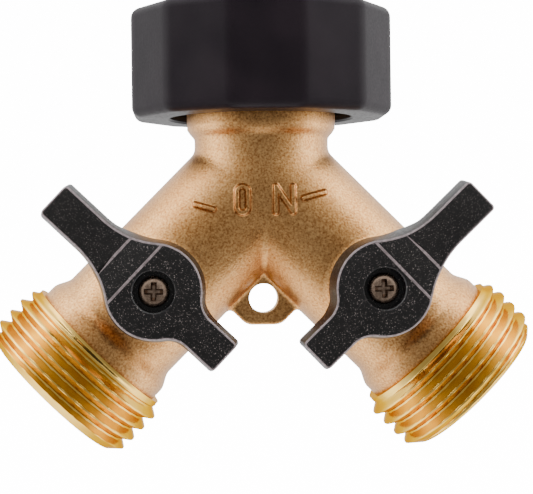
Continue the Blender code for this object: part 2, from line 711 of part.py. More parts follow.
def make_lever_screw(side, axis, steel):
    name = side_name(side)
    crown = HEAD_BOTTOM + HEAD_HEIGHT
    shape = turned([
        (0, HEAD_BOTTOM - SCREW_GRIP - SEAT_GAP),
        (SCREW_RADIUS, HEAD_BOTTOM - SCREW_GRIP - SEAT_GAP),
        (SCREW_RADIUS, HEAD_BOTTOM),
        (HEAD_RADIUS, HEAD_BOTTOM),
        (HEAD_RADIUS, HEAD_BOTTOM + HEAD_HEIGHT / 2),
        (HEAD_RADIUS - HEAD_SHOULDER_INSET, crown - HEAD_SHOULDER_INSET),
        (HEAD_RADIUS - HEAD_CROWN_INSET, crown),
        (0, crown),
    ], SMALL_SIDES)
    screw = add_object(name + "_lever_screw", shape, parent=axis, material=steel)
    half_bar = CROSS_WIDTH / 2
    half_span = CROSS_SPAN / 2
    corner = [(half_span, -half_bar), (half_span, half_bar), (half_bar, half_bar)]
    cross = []
    for quarter in range(4):
        cross += [(c.x, c.y) for c in (Matrix.Rotation(quarter * math.pi / 2, 2) @ Vector(p) for p in corner)]
    cut(screw, name + "_cross", prism(cross, crown - CROSS_DEPTH, crown + MM), parent=axis)


def make_valve(side, finishes):
    at_rest = Matrix.Rotation(-opening_turn(side) * LEVER_SET, 4, "Z")
    axis = add_axis(side_name(side) + "_lever_axis", valve_frame(side) @ at_rest)
    make_lever(side, axis, finishes["paint"])
    make_lever_screw(side, axis, finishes["steel"])
    make_stem(side, axis, finishes["machined_brass"])
    make_stem_seals(side, axis, finishes["rubber"], finishes["ptfe"])
    ball_axis = add_axis(side_name(side) + "_ball_axis", valve_frame(side) @ at_rest)
    make_ball(side, ball_axis, finishes["chrome"])
    make_seats(side, finishes["ptfe"])
    make_retainer(side, finishes["machined_brass"])


def main():
    clear_scene()
    finishes = {
        "cast_brass": finish_of("cast_brass", (0.55, 0.36, 0.16), 0.42, 1.0),
        "machined_brass": finish_of("machined_brass", (0.78, 0.52, 0.2), 0.2, 1.0),
        "grip": finish_of("black_grip", (0.02, 0.018, 0.02), 0.4, 0.0),
        "paint": finish_of("black_paint", (0.015, 0.013, 0.013), 0.45, 0.0),
        "steel": finish_of("plated_steel", (0.5, 0.45, 0.4), 0.35, 1.0),
        "rubber": finish_of("rubber", (0.04, 0.04, 0.04), 0.7, 0.0),
        "ptfe": finish_of("ptfe", (0.85, 0.85, 0.82), 0.5, 0.0),
        "chrome": finish_of("chrome", (0.8, 0.8, 0.82), 0.08, 1.0),
    }
    make_body(finishes["cast_brass"])
    make_retaining_ring(finishes["steel"])
    swivel = add_axis("swivel_axis", Matrix.Identity(4))
    make_inlet_nut(swivel, finishes["machined_brass"])
    make_nut_grip(swivel, finishes["grip"])
    make_inlet_washer(swivel, finishes["rubber"])
    for side in (LEFT, RIGHT):
        make_valve(side, finishes)


main()
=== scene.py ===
# %% [markdown]
# # A two-way hose splitter in cast brass
# The real object is a brass Y that screws onto a garden tap. A black grip turns the inlet nut, and each
# branch has a ball valve with a black lever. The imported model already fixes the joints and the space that
# each part takes up, so this lesson only makes the finished surfaces: a blasted casting with raised letters,
# real threads, moulded and painted parts, and the materials.

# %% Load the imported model
import json
import math

import bmesh
import bpy
import numpy as np
from mathutils import Matrix, Vector


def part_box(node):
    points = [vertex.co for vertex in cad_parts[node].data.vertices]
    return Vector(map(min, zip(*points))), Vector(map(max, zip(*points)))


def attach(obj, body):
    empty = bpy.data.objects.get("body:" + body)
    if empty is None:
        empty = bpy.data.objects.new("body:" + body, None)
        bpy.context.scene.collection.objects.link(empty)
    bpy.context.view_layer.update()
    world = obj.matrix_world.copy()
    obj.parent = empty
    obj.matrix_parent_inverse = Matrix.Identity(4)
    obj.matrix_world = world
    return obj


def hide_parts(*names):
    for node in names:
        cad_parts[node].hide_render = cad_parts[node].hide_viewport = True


MM = 0.001
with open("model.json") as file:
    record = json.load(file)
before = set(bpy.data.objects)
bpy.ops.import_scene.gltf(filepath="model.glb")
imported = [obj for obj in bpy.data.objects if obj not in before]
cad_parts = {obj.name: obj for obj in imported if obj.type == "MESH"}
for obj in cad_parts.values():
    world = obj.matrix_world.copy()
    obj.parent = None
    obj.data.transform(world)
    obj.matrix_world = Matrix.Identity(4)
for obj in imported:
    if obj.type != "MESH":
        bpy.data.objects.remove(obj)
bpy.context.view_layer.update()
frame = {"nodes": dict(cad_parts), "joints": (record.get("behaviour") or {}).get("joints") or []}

# %% [markdown]
# ## Where things are
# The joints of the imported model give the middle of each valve, and two pipes at 45 degrees that pass through
# the valves meet at the fork. A piece that is turned on a lathe is easiest to draw round its own Z axis, so
# two frames are needed on each side. One runs down the branch, the other up the stem.

# %% Directions, frames and levels
SIDES = {"left": -1, "right": 1}
TILT = math.radians(45)
joints = {joint["name"]: joint for joint in frame["joints"]}


def valve_centre(side):
    return Vector(joints[side + "_lever_turn"]["pos_m"])


def placed(origin, x_axis, z_axis):
    turn = Matrix((x_axis, z_axis.cross(x_axis), z_axis)).transposed().to_4x4()
    return Matrix.Translation(origin) @ turn


def lever_swing(side):
    return math.radians(joints[side + "_lever_turn"]["range_deg"][1])


def across(side):
    return Vector((SIDES[side] * math.cos(TILT), 0, math.sin(TILT)))


def flow(side):
    return Vector((SIDES[side] * math.sin(TILT), 0, -math.cos(TILT)))


right_valve = valve_centre("right")
FORK = Vector((0, 0, right_valve.z + right_valve.x / math.tan(TILT)))
VALVE_STATION = (right_valve - FORK).length
LEVER_SET = lever_swing("right") - math.pi / 2
FRONT = Vector((0, -1, 0))


def branch_place(side):
    return placed(FORK, across(side), flow(side))


def valve_place(side):
    at_rest = Matrix.Rotation(-SIDES[side] * LEVER_SET, 4, "Z")
    return placed(valve_centre(side), across(side), FRONT) @ at_rest


TAIL_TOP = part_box("y_body")[1].z
lever_low, lever_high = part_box("right_lever")
LEVER_BOTTOM = -lever_high.y
LEVER_TOP = -lever_low.y
FORK_Z = FORK.z / MM
print("fork at", round(FORK_Z, 2), "mm, valves", round(VALVE_STATION / MM, 2), "mm down each branch")

# %% [markdown]
# ## Helpers for meshes
# Almost everything here is a skin over a row of rings: a turned part, a thread, a rounded dodecagon. A Screw
# modifier could turn a profile too, but it couldn't make the threads or the grip. So one function joins rings
# into a closed mesh, and the others work out the rings. Profiles and outlines are in millimetres.


# %% Rings, turned shapes and prisms
def add_object(name, mesh, finish=None, place=None):
    made = bpy.data.objects.new(name, mesh)
    bpy.context.scene.collection.objects.link(made)
    if finish:
        mesh.materials.append(finish)
    if place:
        made.matrix_world = place
    return made


def shade(mesh, sharp_degrees=32):
    mesh.shade_smooth()
    mesh.set_sharp_from_angle(angle=math.radians(sharp_degrees))


def skin(name, rings, finish=None, place=None):
    """A closed skin over rings of points, the last ring joined to the first."""
    rings = np.asarray(rings, float)
    count, size = rings.shape[:2]
    row, column = np.meshgrid(np.arange(count), np.arange(size), indexing="ij")
    after, beside = (row + 1) % count, (column + 1) % size
    corners = [row * size + column, row * size + beside, after * size + beside, after * size + column]
    mesh = bpy.data.meshes.new(name)
    mesh.from_pydata(rings.reshape(-1, 3).tolist(), [], np.stack(corners, -1).reshape(-1, 4).tolist())
    bm = bmesh.new()
    bm.from_mesh(mesh)
    bmesh.ops.remove_doubles(bm, verts=bm.verts, dist=1e-7)
    bmesh.ops.dissolve_degenerate(bm, edges=bm.edges, dist=1e-8)
    bmesh.ops.recalc_face_normals(bm, faces=bm.faces)
    bm.to_mesh(mesh)
    bm.free()
    shade(mesh)
    return add_object(name, mesh, finish, place)


def round_angles(steps):
    return np.arange(steps) * 2 * math.pi / steps


def polar_ring(radius, height, angles):
    return np.stack([radius * np.cos(angles), radius * np.sin(angles), height + 0 * angles], -1) * MM


def turned_rings(profile, steps):
    """profile holds (radius, height) points, and runs once round the section."""
    angles = round_angles(steps)
    spokes = np.stack([np.cos(angles), np.sin(angles), 0 * angles], -1)
    return [radius * MM * spokes + (0, 0, height * MM) for radius, height in profile]


def turned(name, profile, finish=None, place=None, steps=96):
    return skin(name, turned_rings(profile, steps), finish, place)


def prism(name, outline, low, high, finish=None, place=None, top_outline=None):
    """A block over an outline, which leans towards top_outline if there is one."""
    mesh = bpy.data.meshes.new(name)
    bm = bmesh.new()
    bottom = [bm.verts.new((x * MM, y * MM, low * MM)) for x, y in outline]
    top = [bm.verts.new((x * MM, y * MM, high * MM)) for x, y in top_outline or outline]
    bm.faces.new(bottom)
    bm.faces.new(top)
    for i in range(len(bottom)):
        j = (i + 1) % len(bottom)
        bm.faces.new((bottom[i], bottom[j], top[j], top[i]))
    bmesh.ops.recalc_face_normals(bm, faces=bm.faces)
    bm.to_mesh(mesh)
    bm.free()
    return add_object(name, mesh, finish, place)


def arc(centre, radius, start, end, steps):
    turns = [start + (end - start) * i / steps for i in range(steps + 1)]
    return [(centre[0] + radius * math.cos(turn), centre[1] + radius * math.sin(turn)) for turn in turns]


def circle(radius, steps=48):
    return arc((0, 0), radius, 0, 2 * math.pi, steps)[:-1]


def tell(piece):
    print(piece.name, "has", len(piece.data.polygons), "faces")


# %% [markdown]
# ## Booleans that are applied at once
# Bores and slots are taken away with a Boolean, as a drill and a mill do on the real part. The modifier could
# stay on the object, but its cutter would then have to stay in the scene. So each cut is applied at once, and
# the export sees plain meshes.


# %% Cut a piece with a tool
def settle_modifiers(target):
    """Turns what the modifiers make into the object's own mesh."""
    graph = bpy.context.evaluated_depsgraph_get()
    mesh = bpy.data.meshes.new_from_object(target.evaluated_get(graph))
    target.modifiers.clear()
    target.data = mesh


def cut(target, tool, solver="EXACT"):
    """Takes the tool's shape away, and the new faces keep the tool's own finish."""
    change = target.modifiers.new("cut", "BOOLEAN")
    change.operation = "DIFFERENCE"
    change.solver = solver
    change.material_mode = "TRANSFER"
    change.object = tool
    settle_modifiers(target)
    bpy.data.objects.remove(tool)


# %% [markdown]
# ## Helpers for materials
# A colour is written the way a paint shop gives it, as an sRGB hex value, and turned to linear light once. No
# real surface is even, so each finish has one or more layers of grain. A layer is noise of one real size, and
# it may move the colour, the roughness and the height of the skin. Object coordinates are metres here, so a
# grain of 0.3 mm needs a noise scale of 1 / 0.0003.


# %% Colours, nodes and layers of grain
def linear(hex_colour):
    values = [int(hex_colour[i : i + 2], 16) / 255 for i in (1, 3, 5)]
    return tuple(v / 12.92 if v <= 0.04045 else ((v + 0.055) / 1.055) ** 2.4 for v in values) + (1,)


def add_node(tree, kind, values=None, links=None, **settings):
    """A node with its settings, its fixed inputs and the outputs that its inputs are linked to."""
    node = tree.nodes.new(kind)
    for name, value in settings.items():
        setattr(node, name, value)
    for name, value in (values or {}).items():
        node.inputs[name].default_value = value
    for name, output in (links or {}).items():
        tree.links.new(output, node.inputs[name])
    return node


def new_finish(name, **fixed):
    """A material with its constants on the shader's own sockets, its shader, and the place on the object."""
    material = bpy.data.materials.new(name)
    material.use_nodes = True
    shader = material.node_tree.nodes["Principled BSDF"]
    for socket, value in fixed.items():
        shader.inputs[socket.replace("_", " ")].default_value = value
    print("finish", name)
    return material, shader, add_node(shader.id_data, "ShaderNodeTexCoord").outputs["Object"]


def add_grain(shader, place, size, detail=2.0, rough_detail=0.5, colours=None, roughness=None, height=None):
    """Lays on one grain of a real size. Noise keeps near 0.5, so 0.3 to 0.7 is taken as its whole range."""
    tree = shader.id_data
    values = {"Scale": 1 / size, "Detail": detail, "Roughness": rough_detail}
    noise = add_node(tree, "ShaderNodeTexNoise", values, {"Vector": place}).outputs["Fac"]
    if colours:
        share = add_node(tree, "ShaderNodeMapRange", {"From Min": 0.3, "From Max": 0.7}, {"Value": noise})
        ends = {"A": linear(colours[0]), "B": linear(colours[1])}
        blend = add_node(tree, "ShaderNodeMix", ends, {"Factor": share.outputs["Result"]}, data_type="RGBA")
        tree.links.new(blend.outputs["Result"], shader.inputs["Base Color"])
    if roughness:
        values = {"From Min": 0.3, "From Max": 0.7, "To Min": roughness[0], "To Max": roughness[1]}
        spread = add_node(tree, "ShaderNodeMapRange", values, {"Value": noise})
        tree.links.new(spread.outputs["Result"], shader.inputs["Roughness"])
    if height:
        links = {"Height": noise}
        for link in shader.inputs["Normal"].links:
            links["Normal"] = link.from_socket
        bump = add_node(tree, "ShaderNodeBump", {"Strength": 1.0, "Distance": height}, links)
        tree.links.new(bump.outputs["Normal"], shader.inputs["Normal"])
    return noise


def fleck(shader, noise, start, full, colour, blend_type):
    """Blends a colour over the base colour, from none where the noise is at start to all at full."""
    tree = shader.id_data
    share = add_node(tree, "ShaderNodeMapRange", {"From Min": start, "From Max": full}, {"Value": noise})
    links = {"Factor": share.outputs["Result"], "A": shader.inputs["Base Color"].links[0].from_socket}
    kind = {"data_type": "RGBA", "blend_type": blend_type}
    mix = add_node(tree, "ShaderNodeMix", {"B": linear(colour)}, links, **kind)
    tree.links.new(mix.outputs["Result"], shader.inputs["Base Color"])


# %% [markdown]
# ## Blasted cast brass
# The body is cast in sand and then blasted with shot, which leaves a matt, fine-grained skin. Light spreads
# out on it, so highlights are wide and pale and the shaded parts stay brown. The grain is about 0.3 mm, and
# its pits are darker than its crests. A slow change of colour and height across 9 mm keeps large areas from
# looking dipped in paint.

# %% Cast brass
cast_brass, shader, place = new_finish("blasted_cast_brass", Metallic=1.0)
add_grain(shader, place, 9 * MM, colours=("#CE9D62", "#D9AC72"), height=0.06 * MM)
blast = add_grain(shader, place, 0.3 * MM, 3.0, 0.6, roughness=(0.3, 0.42), height=0.042 * MM)
fleck(shader, blast, 0.7, 0.3, "#B0937A", "MULTIPLY")

# %% [markdown]
# ## Turned brass
# Threads, bores and end faces are cut on a lathe after casting. The cut metal is brighter and more yellow,
# and the tool leaves rings round the axis. Its edge tint is brass too, so that crests seen from the side stay
# golden. The rings are really finer than 0.1 mm, and are drawn at 0.25 mm so that they show at all. They are
# noise that is stretched ten times across the axis.

# %% Machined brass
turned_brass, shader, place = new_finish("turned_brass", Metallic=1.0, Specular_Tint=linear("#DAB060"))
stretch = add_node(shader.id_data, "ShaderNodeMapping", {"Scale": (0.1, 0.1, 1)}, {"Vector": place})
add_grain(shader, stretch.outputs["Vector"], 0.25 * MM, height=0.012 * MM)
add_grain(shader, place, 3 * MM, 3.0, colours=("#D2A850", "#E0BC64"), roughness=(0.16, 0.21))

# %% [markdown]
# ## Moulded nylon, for the grip
# Glass-filled nylon comes out of its mould black with a satin skin. It isn't perfectly flat: flow lines and
# sink marks a few millimetres long bend its reflections, and a fine spark-eroded grain blurs them.

# %% Black nylon
nylon, shader, place = new_finish("moulded_black_nylon", IOR=1.53, Specular_IOR_Level=0.05)
add_grain(shader, place, 7 * MM, 1.0, colours=("#141014", "#1B161A"), height=0.12 * MM)
add_grain(shader, place, 0.35 * MM, roughness=(0.3, 0.42), height=0.008 * MM)

# %% [markdown]
# ## Textured black paint, for the levers
# The levers are zinc die castings with a powder coat. The powder melts into a skin with a fine orange peel of
# about 0.3 mm. It is black with a hint of brown, and grains that stand out of the skin catch the light as pale
# specks. Bump alone is too dim on black to show them, so they are painted highlights, a pale colour 0.16 mm
# across.

# %% Black paint
black_paint, shader, place = new_finish("textured_black_paint", IOR=1.5, Specular_IOR_Level=0.34)
add_grain(shader, place, 0.3 * MM, 2.0, 0.6, roughness=(0.3, 0.46), height=0.018 * MM)
add_grain(shader, place, 4 * MM, colours=("#040303", "#0A0808"))
# painted highlights: pale specks that stand in for light caught by grains of the coat
fleck(shader, add_grain(shader, place, 0.16 * MM, 1.0), 0.65, 0.76, "#857C7A", "MIX")

# %% [markdown]
# ## Painted edge highlights
# Each edge and crease on the top of a lever catches the light as a thin pale line. Here that line is painted:
# a pale grey paint stands in for the highlight. A node could find the edges, but the lever's bevel makes
# strips of faces there anyway, and they can take a finish of their own.

# %% Painted highlights on the edges
# painted highlight: this pale grey on the bevel strips stands in for light caught along the edges
edge_highlight_paint, shader, place = new_finish("painted_edge_highlight", IOR=1.5)
edge_highlight_look = {"colours": ("#4A4243", "#7D7173"), "roughness": (0.28, 0.4), "height": 0.01 * MM}
add_grain(shader, place, 0.4 * MM, 3.0, 0.6, **edge_highlight_look)

# %% [markdown]
# ## Plated steel, for the screws and the split ring
# They are steel with a dull nickel plate, which is soft to look at and slightly brown. One grain of half a
# millimetre carries its stains and its small waves.

# %% Plated steel
plated_steel, shader, place = new_finish("nickel_plated_steel", Metallic=1.0)
plated = {"colours": ("#6C5A4C", "#9A8575"), "roughness": (0.2, 0.34), "height": 0.015 * MM}
add_grain(shader, place, 0.5 * MM, 3.0, 0.6, **plated)

# %% [markdown]
# ## Nitrile rubber, for the washer and the O-rings
# Moulded nitrile is matt and nearly black. A bloom of wax comes to its skin in patches of about a millimetre,
# and is a little paler and rougher than the rubber.

# %% Nitrile rubber
rubber, shader, place = new_finish("nitrile_rubber", IOR=1.52)
moulded = {"colours": ("#2E2E2E", "#3A3A39"), "roughness": (0.55, 0.72), "height": 0.02 * MM}
add_grain(shader, place, 1.2 * MM, 3.0, **moulded)

# %% [markdown]
# ## PTFE, for the seats and thrust washers
# PTFE is a waxy white plastic that lets a little light in, which subsurface scattering gives. It is turned
# from a bar and is smooth, so it has no bump, and only its shade and its shine vary a little.

# %% PTFE
ptfe, shader, place = new_finish("white_ptfe", IOR=1.35, Subsurface_Weight=0.2, Subsurface_Scale=0.5 * MM)
add_grain(shader, place, 1.5 * MM, colours=("#E9E8E2", "#F4F3EF"), roughness=(0.4, 0.52))

# %% [markdown]
# ## Polished chrome, for the balls
# A ball is brass that is plated with chrome and polished, so that the seats slide on it. A faint haze is all
# that sets it apart from a mirror.

# %% Chrome
chrome, shader, place = new_finish("polished_chrome", Metallic=1.0)
add_grain(shader, place, 0.8 * MM, colours=("#C9CACD", "#D6D7DA"), roughness=(0.05, 0.1))

# %% [markdown]
# ## The casting
# A casting has no sharp inside corners: every pipe runs into the next one in a soft fillet. Joined solids
# could be bevelled along their seams, but such a bevel tears where three seams meet. A distance formula gives
# the fillets for free. For each part of the Y we work out how far a point is from its skin, and a smooth
# minimum of these distances melts the parts together.

# %% Sizes of the casting, in millimetres
TUBE_RADIUS = 10.1
NECK_LENGTH = 6.0
NECK_FLARE = 1.8
TAIL_RADIUS = 11.2
COLLAR_START = VALVE_STATION / MM + 7.6
COLLAR_RISE = 3.0
COLLAR_RADIUS = 11.2
SHOULDER = COLLAR_START + COLLAR_RISE + 1.5
BOSS_RADIUS = 6.4
BOSS_HEIGHT = LEVER_BOTTOM / MM - 0.3
LUG_HALF_THICKNESS = 2.0
LUG_LOW = FORK_Z - 21.8
LUG_HALF_FLAT = 2.6
LUG_HALF_WIDTH = 7.65
CELL = 0.32
JOINT_FILLET, BOSS_FILLET, LUG_FILLET = 0.6, 1.4, 1.0
print("collars start", round(COLLAR_START, 1), "mm and threads", round(SHOULDER, 1), "mm from the fork")


# %% The distance formula
def smooth_min(first, second, width):
    mix = np.clip(0.5 + 0.5 * (second - first) / width, 0, 1)
    return second * (1 - mix) + first * mix - width * mix * (1 - mix)


def smooth_max(first, second, width):
    return -smooth_min(-first, -second, width)


def ramp(values, start, end):
    part = np.clip((values - start) / (end - start), 0, 1)
    return part * part * (3 - 2 * part)


def pipe(points, start, direction, radius_at):
    """Distance to a pipe with a round near end; radius_at gives its radius along its length."""
    away = points - start
    along = away @ direction
    beside = away - np.maximum(along, 0)[:, None] * direction
    return np.linalg.norm(beside, axis=1) - radius_at(along)


def neck_radius(along):
    flare = ramp(along, NECK_LENGTH, NECK_LENGTH + NECK_FLARE)
    return TUBE_RADIUS + (TAIL_RADIUS - TUBE_RADIUS) * flare


def branch_radius(along):
    rise = ramp(along, COLLAR_START, COLLAR_START + COLLAR_RISE)
    return TUBE_RADIUS + (COLLAR_RADIUS - TUBE_RADIUS) * rise


def lug(points):
    """A plate in the fork with a flat foot and sides at 45 degrees."""
    x, y, z = np.abs(points[:, 0]), np.abs(points[:, 1]), points[:, 2]
    slope = ((x - LUG_HALF_FLAT) - (z - LUG_LOW)) / math.sqrt(2)
    outline = smooth_max(smooth_max(LUG_LOW - z, slope, 0.7), x - LUG_HALF_WIDTH, 0.5)
    outline = np.maximum(outline, z - FORK_Z + TUBE_RADIUS)
    return smooth_max(outline, y - LUG_HALF_THICKNESS, 0.6)


def boss(points, side):
    away = points - np.array(valve_centre(side)) / MM
    height = -away[:, 1]
    rim = np.hypot(away[:, 0], away[:, 2]) - BOSS_RADIUS
    return np.maximum(np.maximum(rim, height - BOSS_HEIGHT - 1), -height)


def casting_distance(points):
    fork = np.array(FORK) / MM
    shape = pipe(points, fork, np.array((0, 0, 1.0)), neck_radius)
    for side in SIDES:
        branch = pipe(points, fork, np.array(flow(side)), branch_radius)
        shape = smooth_min(shape, branch, JOINT_FILLET)
    for side in SIDES:
        shape = smooth_min(shape, boss(points, side), BOSS_FILLET)
    return smooth_min(shape, lug(points), LUG_FILLET)


def onto_surface(points, rounds=5, step=0.02):
    """Walks each point down the distance's slope until it lies on the surface."""
    for _ in range(rounds):
        value = casting_distance(points)
        slope = [casting_distance(points + d) - casting_distance(points - d) for d in step * np.eye(3)]
        slope = np.stack(slope, 1) / (2 * step)
        points = points - (value / np.maximum((slope**2).sum(1), 0.3))[:, None] * slope
    return points


# %% [markdown]
# ## Raised letters
# The word ON, between two dashes, stands 0.6 mm proud of the fork: it is cast in, and only says which way
# the levers open. It is drawn with plain strokes of one width. Each point's distance to the nearest stroke
# decides how far it is pushed forward, with a sloping side as a pattern needs to leave the sand.

# %% Strokes of the letters, in millimetres from the fork
LETTER_DROP = 3.2
LETTER_HEIGHT = 4.5
STROKE = 0.75
LETTER_RELIEF = 0.6
LETTER_SIDE = 0.4
WORD_HALF_WIDTH = 11
WORD_HALF_HEIGHT = 3
FRONT_SKIN = -5
half_tall = (LETTER_HEIGHT - STROKE) / 2


def to_segment(x, z, start, end):
    start, end = np.array(start), np.array(end)
    run = end - start
    part = np.clip(((x - start[0]) * run[0] + (z - start[1]) * run[1]) / (run @ run), 0, 1)
    return np.hypot(x - start[0] - part * run[0], z - start[1] - part * run[1])


def to_letters(x, z):
    """Distance from a point on the front to the middle of the nearest stroke."""
    z = z - (FORK_Z - LETTER_DROP)
    o_wide, o_round, o_middle = 0.8, 0.75, -3.3
    corner_x = np.abs(x - o_middle) - (o_wide - o_round)
    corner_z = np.abs(z) - (half_tall - o_round)
    outside = np.hypot(np.maximum(corner_x, 0), np.maximum(corner_z, 0))
    nearest = np.abs(outside + np.minimum(np.maximum(corner_x, corner_z), 0) - o_round)
    n_left, n_right = 1.55, 4.05
    strokes = [
        ((n_left, -half_tall), (n_left, half_tall)),
        ((n_left, half_tall), (n_right, -half_tall)),
        ((n_right, -half_tall), (n_right, half_tall)),
        ((-10.2, -0.6), (-7.5, -1.4)),
        ((5.6, 0.15), (8.8, 1.0)),
    ]
    for start, end in strokes:
        nearest = np.minimum(nearest, to_segment(x, z, start, end))
    return nearest


# %% [markdown]
# ## From plain solids to one skin
# The formula needs a mesh to bend. Blender's voxel remesh joins plain rods and a plate into one closed skin
# of small squares, and each of its points then walks onto the formula's surface. A finer remesh would hold
# the letters too, but at many times the faces, so only the squares near them are split.


# %% Join plain solids and remesh them
def joined(name, parts):
    """One object from several, with their overlaps left for the remesh to clear."""
    bm = bmesh.new()
    for part in parts:
        part.data.transform(part.matrix_world)
        bm.from_mesh(part.data)
        bpy.data.objects.remove(part)
    mesh = bpy.data.meshes.new(name)
    bm.to_mesh(mesh)
    bm.free()
    return add_object(name, mesh)


def rod(radius, low, high):
    return [(0, low), (radius, low), (radius, high), (0, high)]


def rough_casting():
    top = TAIL_TOP / MM - FORK_Z + 1
    along_y = Matrix.Rotation(math.pi / 2, 4, "X")
    parts = [turned("neck", rod(TUBE_RADIUS, -4, top), place=Matrix.Translation(FORK))]
    for side in SIDES:
        parts.append(turned("branch", rod(TUBE_RADIUS, -4, SHOULDER + 1.5), place=branch_place(side)))
        parts.append(turned("boss", rod(BOSS_RADIUS, 0, BOSS_HEIGHT + 1), place=valve_place(side)))
    foot = [
        (-LUG_HALF_FLAT, LUG_LOW),
        (LUG_HALF_FLAT, LUG_LOW),
        (LUG_HALF_FLAT + 5, LUG_LOW + 5),
        (0, FORK_Z - TUBE_RADIUS),
        (-LUG_HALF_FLAT - 5, LUG_LOW + 5),
    ]
    parts.append(prism("lug", foot, -LUG_HALF_THICKNESS, LUG_HALF_THICKNESS, place=along_y))
    body = joined("casting", parts)
    remesh = body.modifiers.new("voxels", "REMESH")
    remesh.mode = "VOXEL"
    remesh.voxel_size = CELL * MM
    settle_modifiers(body)
    return body


def points_of(mesh):
    flat = np.empty(len(mesh.vertices) * 3, np.float32)
    mesh.vertices.foreach_get("co", flat)
    return flat.reshape(-1, 3).astype(float)


def move_points(mesh, points):
    mesh.vertices.foreach_set("co", points.astype(np.float32).ravel())
    mesh.update()


def raise_letters(body):
    """Splits the squares near the letters, then pushes the strokes forward."""
    bm = bmesh.new()
    bm.from_mesh(body.data)
    for _ in range(2):
        near = []
        for face in bm.faces:
            middle = face.calc_center_median() / MM
            beside, above = abs(middle.x), abs(middle.z - FORK_Z + LETTER_DROP)
            if middle.y < FRONT_SKIN and beside < WORD_HALF_WIDTH and above < WORD_HALF_HEIGHT:
                near.append(face)
        edges = {edge for face in near for edge in face.edges}
        bmesh.ops.subdivide_edges(bm, edges=list(edges), cuts=1, use_grid_fill=True)
    bm.to_mesh(body.data)
    bm.free()
    points = onto_surface(points_of(body.data) / MM, rounds=2)
    nearest = to_letters(points[:, 0], points[:, 2])
    push = 1 - ramp(nearest, STROKE / 2 - LETTER_SIDE / 2, STROKE / 2 + LETTER_SIDE / 2)
    points[:, 1] -= np.where(points[:, 1] < FRONT_SKIN, LETTER_RELIEF * push, 0)
    move_points(body.data, points * MM)


casting = rough_casting()
move_points(casting.data, onto_surface(points_of(casting.data) / MM) * MM)
raise_letters(casting)
casting.data.materials.append(cast_brass)
print("casting:", len(casting.data.polygons), "faces before machining")

# %% [markdown]
# ## Machining the casting
# What a lathe and a drill cut is crisp and bright. So the bores, the faces that seal and the groove for the
# retaining ring are taken out with turned cutters, and the Boolean hands the cutter's finish to the faces it
# leaves. The fast Manifold solver suits this mesh, because a voxel remesh is closed.

# %% Sizes of the cuts, in millimetres
PORT = 4.75
POCKET = 8.0
POCKET_START = 14.3
INLET_BORE = 6.5
GROOVE_FLOOR = 10.1
STEM_ROOM, STEM_ROOM_TOP = 4.5, 9.8
STEM_BORE = 3.2
LUG_HOLE, LUG_HOLE_DROP = 2.2, 17.8
CLEAR = 20.0
BEYOND = 45.0
ring_low, ring_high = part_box("nut_retaining_ring")
groove_low, groove_high = ring_low.z / MM - 0.2, ring_high.z / MM + 0.2
tail = TAIL_TOP / MM
print("the retaining ring's groove is", round(groove_high - groove_low, 2), "mm high")

# %% Bores, faces and the lug's hole
inlet_cut = [(0, FORK_Z - 1), (INLET_BORE, FORK_Z - 1), (INLET_BORE, tail - 0.4), (INLET_BORE + 0.4, tail)]
inlet_cut += [(CLEAR, tail), (CLEAR, tail + 5), (0, tail + 5)]
groove_cut = [(GROOVE_FLOOR, groove_low), (CLEAR, groove_low)]
groove_cut += [(CLEAR, groove_high), (GROOVE_FLOOR, groove_high)]
branch_cut = [(0, -2), (PORT, -2), (PORT, POCKET_START), (POCKET, POCKET_START), (POCKET, SHOULDER + 0.4)]
branch_cut += [(CLEAR, SHOULDER + 0.4), (CLEAR, BEYOND), (0, BEYOND)]
stem_cut = [(0, PORT), (STEM_ROOM, PORT), (STEM_ROOM, STEM_ROOM_TOP), (STEM_BORE, STEM_ROOM_TOP)]
stem_cut += [(STEM_BORE, BOSS_HEIGHT - 0.2), (STEM_BORE + 0.2, BOSS_HEIGHT), (CLEAR / 2, BOSS_HEIGHT)]
stem_cut += [(CLEAR / 2, BOSS_HEIGHT + 3), (0, BOSS_HEIGHT + 3)]


def machine(profile, place=None):
    cut(casting, turned("cutter", profile, turned_brass, place, 128), solver="MANIFOLD")


machine(inlet_cut)
machine(groove_cut)
for side in SIDES:
    machine(branch_cut, branch_place(side))
    machine(stem_cut, placed(valve_centre(side), across(side), FRONT))
lug_middle = Matrix.Translation((0, 0, FORK.z - LUG_HOLE_DROP * MM))
machine(rod(LUG_HOLE, -4, 4), lug_middle @ Matrix.Rotation(math.pi / 2, 4, "X"))
shade(casting.data, 38)
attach(casting, "valve_body")
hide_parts("y_body")
print("casting:", len(casting.data.polygons), "faces after machining")

# %% [markdown]
# ## Threads
# A hose thread climbs 2.2 mm in each turn. A Screw modifier could wind a tooth round the pipe, but its ends
# would stay open and have to be joined on. A spiral is only a turned part whose radius also depends on the
# angle, so the same grid of rings can carry it: the radius follows a trapezoid wave that moves along by one
# pitch in each turn, and fades in where the cutting tool enters.


# %% The thread's wave
PITCH = 25.4 / 11.5
FLAT = 0.25
DEPTH = 1.25
FLANK = DEPTH * math.tan(math.radians(34))
print("pitch", round(PITCH, 3), "mm, with", round(PITCH - FLAT - 2 * FLANK, 2), "mm left flat at the root")


def thread_wave(height, angle, crest):
    """From 0 at the root to 1 at the crest, for a right-handed thread round +Z."""
    phase = (height - crest) / PITCH - angle / (2 * math.pi)
    from_crest = np.abs(phase - np.round(phase)) * PITCH
    return np.clip((FLAT / 2 + FLANK - from_crest) / FLANK, 0, 1)


def wall(heights, radius_at, steps):
    """Rings whose radius depends on height and angle."""
    angles = round_angles(steps)
    return [polar_ring(radius_at(height, angles), height, angles) for height in heights]


# %% The outlets
CREST = 13.35
OUTLET_END = SHOULDER + 10.0
CREST_STATION = 38.1
END_RADIUS, END_SLOPE = 11.7, 1.1


